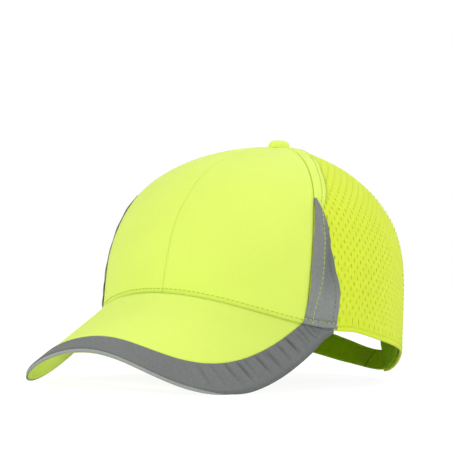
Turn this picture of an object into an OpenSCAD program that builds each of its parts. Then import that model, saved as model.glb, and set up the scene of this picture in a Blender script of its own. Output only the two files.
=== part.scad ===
// Bump cap: a six-panel textile cap over a vented hard shell, with foam pads,
// a sweatband, a stiffened brim and a hook-and-loop strap at the back.
// Millimetres, +Z up, brim toward -Y, the wearer's left toward +X.
// The origin is the centre of the head opening, on the plane the cap stands on.
// Azimuths run from 0 at the front through +90 at the wearer's left to 180.
// A depth is measured inward from the outer face of the crown.

/* [Crown] */
// Half of the crown's width
crown_half_width = 91.5; // [84:0.5:98]
// Half of the crown's length
crown_half_length = 98; // [90:0.5:106]
// Height of the crown's widest level
equator_z = 33; // [28:0.5:38]
// Height of the dome above that level
dome_height = 113.5; // [104:0.5:122]
// How far the top button lies behind the centre
dome_lean = 24; // [10:1:32]
// How far the lean is held back at mid height
dome_hollow = 5.9; // [0:0.1:8]
// Roundness of the profile at the sides, 2 is an ellipse
side_power = 1.67; // [1.5:0.01:2.2]
// Flatness of the profile's top, 2 is an ellipse
top_power = 3.56; // [2.4:0.01:4]
// Extra roundness at the front, taken away at the back
front_side_power = 0.66; // [0:0.01:0.7]
// Extra flatness at the front, taken away at the back
front_top_power = 0.48; // [0:0.01:0.6]
// Thickness of a crown panel with its backing
panel_thickness = 1.2; // [0.8:0.1:1.6]
// Azimuth of the seam between a front and a side panel
front_seam_azimuth = 55.7; // [52:0.1:60]
// Azimuth of the seam between a side and a rear panel
rear_seam_azimuth = 120; // [114:1:126]
// Width of the tape behind each seam
seam_tape_width = 12; // [8:0.5:16]

/* [Rim] */
// Height of the rim beside the brim's ends
side_rim_z = 36; // [32:0.5:40]
// Height of the rim at the back
rear_rim_z = 9; // [6:0.5:12]
// How far the rear corner sits low on the wearer's left and high on the right
rear_skew = 4.5; // [0:0.5:5]
// How much more the rim climbs along the strap to the corner on the wearer's right
rear_climb = 4; // [0:0.5:5]
// Half of the angle that the rear opening spans
arch_half_angle = 32; // [26:1:36]
// Height of the rear opening
arch_height = 55; // [46:1:60]

/* [Brim] */
// Height of the brim where it meets the middle of the crown
brim_root_z = 54.4; // [50:0.1:58]
// Downward slope of the brim's middle line
brim_slope = 23.75; // [18:0.25:28]
// Radius of the brim's arch from side to side
brim_arch_radius = 91.5; // [88:0.5:110]
// Extra droop of the arch near the brim's ends
brim_end_droop = 3.6; // [0:0.1:5]
// Growth of the arch for each 100 mm ahead of the crown
brim_arch_growth = 0.42; // [0:0.01:0.6]
// Half of the width of the brim's outline
brim_half_width = 83.2; // [80:0.1:86]
// Length of the outline, from its centre to the front edge
brim_reach = 186.7; // [176:0.1:192]
// Centre of the outline, behind the middle of the opening
brim_centre_y = 19.15; // [16:0.05:22]
// Squareness of the outline, 2 is an ellipse
brim_power = 3.41; // [2.6:0.01:4.4]
// Azimuth at which the brim ends on the crown
brim_end_azimuth = 65.6; // [62:0.1:68]
// Thickness of the stiffening board
board_thickness = 1.6; // [1.2:0.1:2]
// Thickness of the fabric on either side of the board
cover_thickness = 0.5; // [0.4:0.1:0.7]
// Thickness of the reflective cloth
reflective_thickness = 0.4; // [0.3:0.05:0.5]
// Width of the brim's reflective band at the front
band_width_front = 14.4; // [10:0.1:18]
// Width of the brim's reflective band at the sides
band_width_side = 8.1; // [6:0.1:12]

/* [Side stripes] */
// Height of the stripe's pointed tip
stripe_tip_z = 111; // [100:1:116]
// Angle that the stripe spans at its foot
stripe_foot_angle = 12.7; // [10:0.1:15]

/* [Bump shell] */
// Depth of the shell's outer face
shell_depth = 3.4; // [3.2:0.1:4]
// Thickness of the shell
shell_thickness = 2.2; // [1.8:0.1:2.4]
// Height of the shell's edge above the rim
shell_edge_rise = 22; // [20:1:26]
// How far a stiffening rib stands out of the shell
rib_height = 1; // [0:0.1:1.1]
// Thickness of a foam pad
pad_thickness = 5; // [3:0.5:6]

/* [Sweatband] */
// Height of the sweatband
sweatband_height = 35; // [30:1:38]
// Thickness of the sweatband
sweatband_thickness = 1.2; // [1:0.1:1.6]
// Azimuth at which the sweatband ends, at either side of the rear opening
sweatband_end_azimuth = 143; // [136:1:145]

/* [Closure] */
// Width of the closure strap at its sewn end
strap_width = 16.5; // [14:0.5:20]
// Width of the closure strap at its free end
strap_end_width = 13; // [12:0.5:20]
// Thickness of the strap
strap_thickness = 1.1; // [0.8:0.1:1.4]
// Azimuth of the line along which the strap peels open, on the wearer's right
strap_fold_azimuth = -150; // [-154:1:-149]
// Azimuth of the strap's free end, on the wearer's left
strap_end_azimuth = 151; // [150:1:156]
// Azimuth of the tab's free end, under the strap
tab_end_azimuth = 165; // [160:1:172]

/* [Button] */
// Diameter of the covered button
button_diameter = 13.5; // [11:0.5:15]
// Height of the covered button
button_height = 5; // [4:0.5:6]

/* [Hidden] */

fluorescent = "#d6f21c";
fluorescent_mesh = "#c4e310";
reflective = "#8f9296";
edge_grey = "#b4b7ba";
shell_plastic = "#c8cf7e";
foam = "#3c4046";
lining = "#a9c42a";
hook_and_loop = "#8fae1e";

none = -1000;
crown_top_z = equator_z + dome_height;

// Clearances: layers of one body stay apart by more than the sag of their facets
seam_gap = 0.3;
layer_gap = 0.25;
tape_gap = 0.45;
brim_layer_gap = 0.12;

// Panels and tapes end in circles round the button's shank
shank_radius = 2;
panel_stop_radius = shank_radius + 0.5;
tape_stop_radius = 15;
crown_rows = 12;
panel_columns = 8;
seam_tape_depth = panel_thickness + tape_gap;
seam_tape_thickness = 0.45;
seam_tape_rise = 3;
arch_tape_angle = 6;
arch_tape_rise = 9;
washer_radius = 5;
washer_thickness = 0.8;
washer_drop = 4.3;

// Meridians of the shell: a rib on every sixth, vent slots between the ribs
shell_columns = 72;
shell_rows = 11;
shell_bay = 6;
shell_stop_radius = 13;
shell_arch_angle = 10;
shell_arch_rise = 12;
pad_depth = shell_depth + shell_thickness + 0.3;
pad_gap = 5;
sweatband_columns = 48;
sweatband_foot_depth = 2.5;
sweatband_top_depth = pad_depth + 0.3;

// The brim's layers, measured from its board's upper face
brim_tuck = 3;
brim_columns = 36;
binding_width = 1;
layer_inset = binding_width + 0.15;
top_cover_level = brim_layer_gap;
band_level = top_cover_level + cover_thickness + brim_layer_gap;
under_cover_level = -board_thickness - brim_layer_gap - cover_thickness;
brim_top_level = band_level + reflective_thickness;

// The closure's layers: the tab and its loops lie under the strap and its hooks
strap_lift = 1;
patch_gap = 0.15;
patch_margin = 2;
patch_thickness = 0.6;
tab_start_azimuth = 146;
root_end_azimuth = -140;
loop_depth = 0.8;
tab_depth = loop_depth + patch_thickness + 0.1;
hook_depth = loop_depth - patch_gap - patch_thickness;
strap_depth = hook_depth - patch_gap - strap_thickness;
strap_tape_depth = strap_depth - 0.1 - reflective_thickness;
strap_tape_margin = 1.2;

function clamp01(t) = min(1, max(0, t));
function ease(t) = let (c = clamp01(t)) c * c * (3 - 2 * c);
function mix(a, b, t) = a + (b - a) * t;
function steps(first, last, count) = [for (i = [0:count]) mix(first, last, i / count)];
function flat(table) = [for (column = table) for (point = column) point];

// The crown: a profile r^side + rise^top = 1 swept round an ellipse, leaning back.
function side_power_at(azimuth) = side_power + front_side_power * cos(azimuth);
function top_power_at(azimuth) = top_power + front_top_power * cos(azimuth);
function profile_radius(azimuth, rise) =
    pow(max(0, 1 - pow(abs(rise), top_power_at(azimuth))), 1 / side_power_at(azimuth));
function profile_rise(azimuth, radius) =
    pow(1 - pow(radius, side_power_at(azimuth)), 1 / top_power_at(azimuth));
function lean(rise) = dome_lean * rise - 4 * dome_hollow * rise * (1 - rise);
function rise_of(z, depth) = (z - equator_z) / (dome_height - depth);
function crown_point(azimuth, rise, depth) =
    let (radius = profile_radius(azimuth, rise))
    [
        (crown_half_width - depth) * radius * sin(azimuth),
        lean(rise) - (crown_half_length - depth) * radius * cos(azimuth),
        equator_z + (dome_height - depth) * rise
    ];
function crown_at(azimuth, z, depth) = crown_point(azimuth, rise_of(z, depth), depth);
// A point on the way from a low edge (step 0) up to a circle round the button (step 1)
function crown_step(azimuth, low_z, depth, step, stop_radius) =
    let (
        power = side_power_at(azimuth),
        stop_rise = profile_rise(azimuth, stop_radius / crown_half_width),
        first = pow(1 - rise_of(low_z, depth), 1 / power),
        last = pow(1 - stop_rise, 1 / power)
    )
    crown_point(azimuth, 1 - pow(mix(first, last, step), power), depth);

// The brim's surface: a slope that is arched from side to side
function brim_z(x, y) =
    let (
        ahead = -y - crown_half_length,
        across = min(abs(x), brim_half_width),
        sag = brim_arch_radius - sqrt(pow(brim_arch_radius, 2) - pow(across, 2)),
        droop = brim_end_droop * pow(across / brim_half_width, 4)
    )
    brim_root_z - tan(brim_slope) * ahead - (sag + droop) * (1 + brim_arch_growth * ahead / 100);
function brim_seam_z(azimuth, z = 50, turns = 8) =
    let (point = crown_at(azimuth, z, 0))
    turns == 0 ? z : brim_seam_z(azimuth, brim_z(point.x, point.y), turns - 1);
function outline_radius(turn, side_inset, front_inset) =
    pow(
        pow(abs(sin(turn)) / (brim_half_width - side_inset), brim_power)
        + pow(abs(cos(turn)) / (brim_reach - front_inset), brim_power),
        -1 / brim_power
    );

// The rim: the brim's seam at the front, a line that falls to the rear corners behind it
function rim_z(azimuth) =
    let (
        turn = abs(azimuth) > 180 ? 360 - abs(azimuth) : abs(azimuth),
        level = lookup(turn, [
            [66, side_rim_z], [76, side_rim_z - 0.7], [90, side_rim_z - 5.8], [110, side_rim_z - 12],
            [122, side_rim_z - 15.8], [131, side_rim_z - 20], [140, side_rim_z - 22.6],
            [148, rear_rim_z + 1.6], [155, rear_rim_z - 0.6], [165, rear_rim_z - 0.9], [180, rear_rim_z]
        ]),
        skew = 2 * rear_skew * sin(azimuth) * ease((turn - 125) / 22),
        round_turn = azimuth < 0 ? azimuth + 360 : azimuth,
        climb = rear_climb * ease((round_turn - 176) / 22) * ease((235 - round_turn) / 22)
    )
    level - skew + climb;
function front_low_z(azimuth) = brim_seam_z(azimuth) - brim_tuck;
function panel_low_z(azimuth) =
    abs(azimuth) < brim_end_azimuth - 6 ? front_low_z(azimuth) :
    mix(front_low_z(sign(azimuth) * min(abs(azimuth), brim_end_azimuth)), rim_z(azimuth),
        ease((abs(azimuth) - brim_end_azimuth + 6) / 9));
function arch_z(azimuth, half_angle, height) =
    let (turn = (180 - abs(azimuth)) / half_angle)
    turn >= 1 ? none : rear_rim_z + height * sqrt(1 - turn * turn);

// A closed wall between two tables of points, one list of points for each column.
// A ring joins its last column to its first, and vent(i, j) leaves a cell open.
function quad(a, b, c, d) = [[a, b, c], [a, c, d]];
module wall(outer, inner, ring = false, vent = function (i, j) false) {
    columns = len(outer);
    rows = len(outer[0]);
    cells = ring ? columns : columns - 1;
    solid = function (i, j)
        j >= 0 && j < rows - 1 && (ring || (i >= 0 && i < cells)) && !vent((i + cells) % cells, j);
    front = function (i, j) (i % columns) * rows + j;
    back = function (i, j) columns * rows + front(i, j);
    faces = [
        for (i = [0:cells - 1])
            for (j = [0:rows - 2])
                if (solid(i, j))
                    for (face = concat(
                        quad(front(i, j), front(i, j + 1), front(i + 1, j + 1), front(i + 1, j)),
                        quad(back(i, j), back(i + 1, j), back(i + 1, j + 1), back(i, j + 1)),
                        solid(i - 1, j) ? [] :
                            quad(front(i, j), back(i, j), back(i, j + 1), front(i, j + 1)),
                        solid(i + 1, j) ? [] :
                            quad(front(i + 1, j), front(i + 1, j + 1), back(i + 1, j + 1), back(i + 1, j)),
                        solid(i, j - 1) ? [] :
                            quad(front(i, j), front(i + 1, j), back(i + 1, j), back(i, j)),
                        solid(i, j + 1) ? [] :
                            quad(front(i, j + 1), back(i, j + 1), back(i + 1, j + 1), front(i + 1, j + 1))
                    )) face
    ];
    polyhedron(concat(flat(outer), flat(inner)), faces);
}

// A layer of the crown that runs from low(azimuth) up to a circle round the button
module crown_layer(azimuths, low, depth, thickness, stop_radius, rows, ring = false) {
    table = function (d) [
        for (azimuth = azimuths)
            [for (step = steps(0, 1, rows)) crown_step(azimuth, low(azimuth), d, step, stop_radius)]
    ];
    wall(table(depth), table(depth + thickness), ring);
}
module panel_layer(azimuths, low) {
    crown_layer(azimuths, low, 0, panel_thickness, panel_stop_radius, crown_rows);
}

// A layer of the crown between two heights
module crown_strip(azimuths, low, high, depth, thickness, rows = 1) {
    table = function (d) [
        for (azimuth = azimuths)
            [for (step = steps(0, 1, rows)) crown_at(azimuth, mix(low(azimuth), high(azimuth), step), d)]
    ];
    wall(table(depth), table(depth + thickness));
}

function seam_gap_angle() = seam_gap / 2 / crown_half_width * 180 / PI;
function panel_azimuths(first, last) =
    steps(first + seam_gap_angle(), last - seam_gap_angle(), panel_columns);
// Columns that crowd together where the arch rises steeply
function rear_azimuths(side) =
    let (
        start = rear_seam_azimuth + seam_gap_angle(),
        corner = 180 - arch_half_angle,
        turns = [for (t = [15:15:75]) 180 - arch_half_angle * cos(t)],
        list = concat(steps(start, corner, 4), turns, [180 - seam_gap_angle()])
    )
    side > 0 ? list : [for (i = [len(list) - 1:-1:0]) -list[i]];
function rear_low_z(azimuth) = max(rim_z(azimuth), arch_z(azimuth, arch_half_angle, arch_height));

module front_panel(side) {
    range = side > 0 ? [0, front_seam_azimuth] : [-front_seam_azimuth, 0];
    color(fluorescent)
        panel_layer(panel_azimuths(range[0], range[1]), function (a) panel_low_z(a));
}

module side_panel(side) {
    range = side > 0 ? [front_seam_azimuth, rear_seam_azimuth] : [-rear_seam_azimuth, -front_seam_azimuth];
    color(fluorescent_mesh)
        panel_layer(panel_azimuths(range[0], range[1]), function (a) panel_low_z(a));
}

module rear_panel(side) {
    color(fluorescent_mesh)
        panel_layer(rear_azimuths(side), function (a) rear_low_z(a));
}

// A tape of constant width behind a seam
module seam_tape(azimuth, low_z) {
    table = function (d) [
        for (edge = [-1, 1])
            [
                for (step = steps(0, 1, crown_rows))
                    let (
                        middle = crown_step(azimuth, low_z, d, step, tape_stop_radius),
                        spread = atan(seam_tape_width / 2 / norm([middle.x, middle.y - lean(1)]))
                    )
                    crown_at(azimuth + edge * spread, middle.z, d)
            ]
    ];
    color(lining)
        wall(table(seam_tape_depth), table(seam_tape_depth + seam_tape_thickness));
}
module front_seam_tape() {
    seam_tape(0, front_low_z(0) + seam_tape_rise);
}
module rear_seam_tape() {
    seam_tape(180, rear_rim_z + arch_height + arch_tape_rise + seam_tape_rise);
}
module front_side_tape(side) {
    seam_tape(side * front_seam_azimuth, panel_low_z(front_seam_azimuth) + seam_tape_rise);
}
module rear_side_tape(side) {
    seam_tape(side * rear_seam_azimuth, rim_z(side * rear_seam_azimuth) + seam_tape_rise);
}

// The tape that binds the inside of the rear opening, above the strap
module rear_arch_tape() {
    table = function (d) [
        for (turn = steps(158, 22, 20))
            [
                for (edge = [0, 1])
                    let (
                        half_angle = arch_half_angle + 0.5 + edge * arch_tape_angle,
                        height = arch_height + 1 + edge * arch_tape_rise
                    )
                    crown_at(180 - half_angle * cos(turn), rear_rim_z + height * sin(turn), d)
            ]
    ];
    color(lining)
        wall(table(seam_tape_depth), table(seam_tape_depth + seam_tape_thickness));
}

// Reflective stripe behind the front seam. Its front edge bows forward at the foot, and
// its rear edge waves: how far the edges lie behind the seam, height by height.
function stripe_front(z) =
    front_seam_azimuth
    + lookup(z, [[34, -2.1], [40, -1.9], [47, -1], [53, -0.2], [59, 0.1], [stripe_tip_z, 0.1]]);
function stripe_rear(z) =
    front_seam_azimuth
    + stripe_foot_angle * lookup(z, [
        [34, 0.91], [40, 0.93], [47, 1], [53, 1.02], [59, 0.98], [66, 0.89], [78, 0.72],
        [91, 0.56], [104, 0.28], [stripe_tip_z, 0.03]
    ]);
function stripe_foot_z(azimuth) =
    let (foot_margin = 0.6)
    azimuth > brim_end_azimuth + 1 ? rim_z(azimuth) + foot_margin :
    brim_seam_z(min(azimuth, brim_end_azimuth)) + brim_top_level + foot_margin;
module side_stripe(side) {
    rows = 14;
    table = function (d) [
        for (across = side > 0 ? [0, 0.35, 0.7, 1] : [1, 0.7, 0.35, 0])
            let (foot = stripe_foot_z(mix(stripe_front(36), stripe_rear(36), across)))
            [
                for (up = steps(0, 1, rows))
                    let (z = mix(foot, stripe_tip_z, up))
                    crown_at(side * mix(stripe_front(z), stripe_rear(z), across), z, d)
            ]
    ];
    color(reflective)
        wall(table(-layer_gap - reflective_thickness), table(-layer_gap));
}

// Covered button with a shank that runs through the panels
module crown_button() {
    button_radius = button_diameter / 2;
    color(fluorescent)
        translate([0, lean(1), crown_top_z + 0.1])
            union() {
                rotate_extrude($fn = 48)
                    polygon(concat(
                        [[0, 0], [button_radius - 0.6, 0]],
                        [for (t = [0:15:90]) [
                            button_radius * pow(cos(t), 0.6),
                            0.5 + (button_height - 0.5) * sin(t)
                        ]]
                    ));
                translate([0, 0, -washer_drop])
                    cylinder(r = shank_radius, h = washer_drop + 0.5, $fn = 24);
            }
}

// Washer that the button's shank is closed over, inside the crown
module button_washer() {
    color("silver")
        translate([0, lean(1), crown_top_z - washer_drop])
            difference() {
                cylinder(r = washer_radius, h = washer_thickness, $fn = 48);
                translate([0, 0, -1])
                    cylinder(r = shank_radius + 0.15, h = washer_thickness + 2, $fn = 24);
            }
}

// Hard shell: vent slots between meridian ribs, cut high over the rear opening.
// The ribs stand in the middle of the crown's panels, clear of the seam tapes.
function shell_low_z(azimuth) =
    max(
        panel_low_z(azimuth) + shell_edge_rise,
        arch_z(azimuth, arch_half_angle + shell_arch_angle, arch_height + shell_arch_rise)
    );
function bay_column(i) = (i + shell_bay / 2) % shell_bay;
function shell_rib(i, j) = bay_column(i) == 0 && j > 1 && j < shell_rows - 1 ? rib_height : 0;
function shell_vent(i, j) =
    let (low_slot = j >= 2 && j <= 4, high_slot = j == 7 || j == 8, cell = bay_column(i))
    (low_slot && (cell == 1 || cell == 4)) || (high_slot && (cell == 2 || cell == 3));
module bump_shell() {
    table = function (d) [
        for (i = [0:shell_columns - 1])
            let (azimuth = 360 * i / shell_columns - 180)
            [
                for (j = [0:shell_rows])
                    let (depth = d - shell_rib(i, j))
                    crown_step(azimuth, shell_low_z(azimuth), depth, j / shell_rows, shell_stop_radius)
            ]
    ];
    color(shell_plastic)
        wall(table(shell_depth), table(shell_depth + shell_thickness), true,
            function (i, j) shell_vent(i, j));
}

// Foam pads inside the shell, over the sweatband, and one under the button
function over_sweatband_z(azimuth) = panel_low_z(azimuth) + sweatband_height + pad_gap;
module pad(middle, span, low, high) {
    columns = 6;
    rows = 5;
    color(foam)
        crown_strip(steps(middle - span / 2, middle + span / 2, columns), low, function (a) high,
            pad_depth, pad_thickness, rows);
}
module front_pad() {
    pad(0, 68, function (a) over_sweatband_z(a), crown_top_z - 20);
}
module side_pad(side) {
    pad(side * 87, 50, function (a) over_sweatband_z(a) + 1, crown_top_z - 28);
}
module rear_pad() {
    pad(180, 52, function (a) rear_rim_z + arch_height + 20, crown_top_z - 24);
}
module crown_pad() {
    stop_radius = 5;
    color(foam)
        crown_layer([-170:20:170], function (a) crown_top_z - 13.5, pad_depth, pad_thickness,
            stop_radius, 3, true);
}

// Sweatband: sewn at the rim, its upper edge standing inside the shell
module sweatband() {
    rows = 4;
    table = function (d) [
        for (azimuth = steps(-sweatband_end_azimuth, sweatband_end_azimuth, sweatband_columns))
            [
                for (up = steps(0, 1, rows))
                    crown_at(azimuth, panel_low_z(azimuth) + 1 + up * sweatband_height,
                        d + mix(sweatband_foot_depth, sweatband_top_depth, ease(up * 2)))
            ]
    ];
    color(lining)
        wall(table(0), table(sweatband_thickness));
}

// Brim: columns run outward from the crown's seam, on lines through the outline's centre
function brim_point(azimuth, reach, side_inset, front_inset, level) =
    let (
        seam = crown_at(azimuth, brim_seam_z(azimuth), -seam_gap),
        turn = atan2(seam.x, brim_centre_y - seam.y),
        seam_radius = norm([seam.x, brim_centre_y - seam.y]),
        end_width = 1.6,
        outline = outline_radius(turn, side_inset, front_inset),
        edge_radius = max(outline, seam_radius + end_width - side_inset),
        radius = mix(seam_radius, edge_radius, reach),
        x = radius * sin(turn),
        y = brim_centre_y - radius * cos(turn)
    )
    [x, y, brim_z(x, y) + level];
module brim_layer(level, thickness, inset, rows = 5) {
    table = function (z) [
        for (azimuth = steps(-brim_end_azimuth, brim_end_azimuth, brim_columns))
            [for (reach = steps(0, 1, rows)) brim_point(azimuth, reach, inset, inset, z)]
    ];
    wall(table(level + thickness), table(level));
}
module brim_board() {
    color("gainsboro")
        brim_layer(-board_thickness, board_thickness, layer_inset);
}
module brim_top_cover() {
    color(fluorescent)
        brim_layer(top_cover_level, cover_thickness, layer_inset);
}
module brim_under_cover() {
    color(fluorescent)
        brim_layer(under_cover_level, cover_thickness, layer_inset);
}
module brim_reflective_band() {
    least_width = 0.4;
    band_point = function (azimuth, across, z)
        let (
            seam = brim_point(azimuth, 0, 0, 0, z),
            inner_edge = brim_point(azimuth, 1, band_width_side, band_width_front, z),
            outer_edge = brim_point(azimuth, 1, layer_inset, layer_inset, z),
            centre = [0, brim_centre_y],
            radius = function (p) norm([p.x, p.y] - centre),
            first = max(radius(seam), radius(inner_edge)),
            turn = atan2(seam.x, brim_centre_y - seam.y),
            last = radius(outer_edge),
            r = mix(min(first, last - least_width), last, across),
            x = r * sin(turn),
            y = brim_centre_y - r * cos(turn)
        )
        [x, y, brim_z(x, y) + z];
    table = function (z) [
        for (azimuth = steps(-brim_end_azimuth, brim_end_azimuth, brim_columns))
            [for (across = [0, 0.5, 1]) band_point(azimuth, across, z)]
    ];
    color(reflective)
        wall(table(band_level + reflective_thickness), table(band_level));
}
module brim_edge_binding() {
    table = function (z) [
        for (azimuth = steps(-brim_end_azimuth, brim_end_azimuth, brim_columns))
            [
                brim_point(azimuth, 1, binding_width, binding_width, z),
                brim_point(azimuth, 1, 0, 0, z)
            ]
    ];
    color(edge_grey)
        wall(table(brim_top_level), table(-board_thickness));
}

// Closure: a tab on the wearer's left under a strap that is sewn on the wearer's right
function strap_turn(azimuth) = azimuth < 0 ? azimuth + 360 : azimuth;
function strap_low_z(azimuth) = rim_z(azimuth) + strap_lift;
function strap_high_z(azimuth) =
    let (round_turn = azimuth < 0 ? azimuth + 360 : azimuth)
    strap_low_z(azimuth) + mix(strap_end_width, strap_width, ease((round_turn - 158) / 26));
module closure_band(first, last, depth, thickness, margin, columns) {
    crown_strip(steps(first, last, columns), function (a) strap_low_z(a) + margin,
        function (a) strap_high_z(a) - margin, depth, thickness, 2);
}
module closure_tab() {
    color(lining)
        closure_band(tab_start_azimuth, tab_end_azimuth, tab_depth, strap_thickness, 0.5, 5);
}
module closure_loop_patch() {
    color(hook_and_loop)
        closure_band(strap_end_azimuth - 0.5, tab_end_azimuth - 0.8, loop_depth, patch_thickness,
            patch_margin, 4);
}
module closure_strap_root() {
    color(fluorescent)
        closure_band(strap_fold_azimuth, root_end_azimuth, strap_depth, strap_thickness, 0, 3);
}
module closure_strap() {
    color(fluorescent)
        closure_band(strap_end_azimuth, 360 + strap_fold_azimuth - 0.25, strap_depth, strap_thickness,
            0, 12);
}
module closure_hook_patch() {
    color(hook_and_loop)
        closure_band(strap_end_azimuth + 1, tab_end_azimuth + 4, hook_depth, patch_thickness,
            patch_margin, 4);
}
module closure_reflective_tape() {
    color(reflective)
        closure_band(strap_end_azimuth + 0.6, 360 + strap_fold_azimuth - 0.8,
            strap_tape_depth, reflective_thickness, strap_tape_margin, 12);
}

front_panel(1);  // front_panel_left
front_panel(-1);  // front_panel_right
side_panel(1);  // side_panel_left
side_panel(-1);  // side_panel_right
rear_panel(1);  // rear_panel_left
rear_panel(-1);  // rear_panel_right
front_seam_tape();
rear_seam_tape();
front_side_tape(1);  // front_side_tape_left
front_side_tape(-1);  // front_side_tape_right
rear_side_tape(1);  // rear_side_tape_left
rear_side_tape(-1);  // rear_side_tape_right
rear_arch_tape();
side_stripe(1);  // side_stripe_left
side_stripe(-1);  // side_stripe_right
crown_button();
button_washer();
bump_shell();
front_pad();
crown_pad();
side_pad(1);  // side_pad_left
side_pad(-1);  // side_pad_right
rear_pad();
sweatband();
brim_board();
brim_top_cover();
brim_under_cover();
brim_reflective_band();
brim_edge_binding();
closure_tab();
closure_loop_patch();
closure_strap_root();
closure_strap();
closure_hook_patch();
closure_reflective_tape();
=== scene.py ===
# %% [markdown]
# A bump cap: a six-panel cap in fluorescent yellow-green cloth over a vented hard shell.
# This lesson dresses the cap's frame, which holds every piece at its real size, with cloth,
# mesh, reflective trim, foam and stitches. All lengths are metres, the brim points toward -Y,
# and the wearer's left is +X.

import bmesh
import bpy
import numpy as np
from mathutils import Matrix, Vector


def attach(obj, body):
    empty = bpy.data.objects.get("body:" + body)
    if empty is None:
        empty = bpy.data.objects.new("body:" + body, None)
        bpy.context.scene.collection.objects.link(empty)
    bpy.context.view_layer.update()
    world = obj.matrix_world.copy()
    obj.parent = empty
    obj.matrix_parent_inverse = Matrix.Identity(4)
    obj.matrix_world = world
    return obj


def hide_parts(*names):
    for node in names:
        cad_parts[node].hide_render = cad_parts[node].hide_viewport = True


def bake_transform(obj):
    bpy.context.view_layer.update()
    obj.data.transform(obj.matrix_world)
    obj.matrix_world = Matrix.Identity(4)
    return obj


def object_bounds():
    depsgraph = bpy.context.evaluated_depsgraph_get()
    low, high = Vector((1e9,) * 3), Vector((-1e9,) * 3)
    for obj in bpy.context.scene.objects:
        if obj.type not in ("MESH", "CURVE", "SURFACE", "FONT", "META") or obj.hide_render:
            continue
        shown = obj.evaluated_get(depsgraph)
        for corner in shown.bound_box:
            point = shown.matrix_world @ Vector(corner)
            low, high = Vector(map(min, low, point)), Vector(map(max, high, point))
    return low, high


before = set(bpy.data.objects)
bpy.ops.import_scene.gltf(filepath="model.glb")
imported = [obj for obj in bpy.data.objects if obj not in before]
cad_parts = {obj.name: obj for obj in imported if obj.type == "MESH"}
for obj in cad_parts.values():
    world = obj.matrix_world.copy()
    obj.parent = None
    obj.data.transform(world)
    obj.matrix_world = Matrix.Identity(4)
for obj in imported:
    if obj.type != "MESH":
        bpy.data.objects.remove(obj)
cad_box = [list(corner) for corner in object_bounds()]
SIDES = ((1, "left"), (-1, "right"))
print("frame nodes:", len(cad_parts))

# %% [markdown]
# The camera looks at the cap's front left quarter, level with the middle of the crown, from
# far enough away that the perspective stays mild. Its target and its distance are in metres.
# A small roll and a small shift finish the framing.

# %% Camera
VIEW_AZIMUTH, VIEW_ELEVATION, VIEW_ROLL = (np.radians(a) for a in (33.85, 0.5, 1.56))
VIEW_TARGET, VIEW_DISTANCE = Vector((0.0, 0.0, 0.0752)), 1.352
LENS_MM, SENSOR_MM, LENS_SHIFT = 171.9, 36.0, (-0.0636, 0.0759)


def make_camera():
    back = Vector((
        np.sin(VIEW_AZIMUTH) * np.cos(VIEW_ELEVATION),
        -np.cos(VIEW_AZIMUTH) * np.cos(VIEW_ELEVATION),
        np.sin(VIEW_ELEVATION),
    ))
    right = Vector((np.cos(VIEW_AZIMUTH), np.sin(VIEW_AZIMUTH), 0.0))
    rolled_right = right * np.cos(VIEW_ROLL) + back.cross(right) * np.sin(VIEW_ROLL)
    turn = Matrix((rolled_right, back.cross(rolled_right), back)).transposed()
    lens = bpy.data.cameras.new("cap_camera")
    lens.lens, lens.sensor_width, lens.clip_start = LENS_MM, SENSOR_MM, 0.01
    lens.shift_x, lens.shift_y = LENS_SHIFT
    camera = bpy.data.objects.new("cap_camera", lens)
    camera.matrix_world = Matrix.Translation(VIEW_TARGET + back * VIEW_DISTANCE) @ turn.to_4x4()
    bpy.context.scene.collection.objects.link(camera)
    return camera


bpy.context.scene.camera = make_camera()
bpy.context.scene.view_settings.view_transform = "Standard"
print("camera distance:", VIEW_DISTANCE, "m")

# %% [markdown]
# Nodes are quicker to read when each one is a single call. One helper fills a node's inputs
# with plain values or with links, a second adds a node to any tree, and a third starts a
# node group with named sockets.


# %% Node helpers
def fill(tree, node, inputs):
    """Fills a node's inputs. A value can be plain, a socket, or a node's first output."""
    for key, value in inputs.items():
        if isinstance(value, bpy.types.Node):
            value = value.outputs[0]
        if isinstance(value, bpy.types.NodeSocket):
            tree.links.new(value, node.inputs[key])
        else:
            node.inputs[key].default_value = value


def add_node(tree, kind, inputs=None, **options):
    made = tree.nodes.new(kind)
    for name, value in options.items():
        setattr(made, name, value)
    fill(tree, made, inputs or {})
    return made


def maths(tree, operation, first, second=0.0, third=0.0):
    inputs = {0: first, 1: second, 2: third}
    return add_node(tree, "ShaderNodeMath", inputs, operation=operation).outputs[0]


def new_group(name, kind, inputs, outputs):
    """Starts a node group. Gives the group, its input sockets, and the node of its outputs."""
    group = bpy.data.node_groups.new(name, kind)
    for label, socket, value in inputs:
        made = group.interface.new_socket(label, in_out="INPUT", socket_type="NodeSocket" + socket)
        if value is not None:
            made.default_value = value
    for label, socket in outputs:
        group.interface.new_socket(label, in_out="OUTPUT", socket_type="NodeSocket" + socket)
    return group, group.nodes.new("NodeGroupInput").outputs, group.nodes.new("NodeGroupOutput")


def cleared_tree(owner):
    owner.use_nodes = True
    owner.node_tree.nodes.clear()
    return owner.node_tree

# %% [markdown]
# The room is plain: a pale floor and large soft lamps, one high on the camera's left, one on
# its right and one behind the cap. A weak lamp stands low beside the camera, and a tiny one
# lights the brim's underside. The world is white where the camera, a reflection or clear
# material sees it, and grey where it lights the cap, so that colours come out as written.


# %% Floor, world and lamps
WORLD_LIGHT, WHITE = 0.52, (1.0, 1.0, 1.0, 1.0)
FLOOR_COLOUR, FLOOR_HALF_SIZE, FLOOR_GAP = (0.86, 0.87, 0.85, 1.0), 4.0, 0.0004
GLOW_SHARE, GLOW_STRENGTH = 0.8, 1.15


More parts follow.
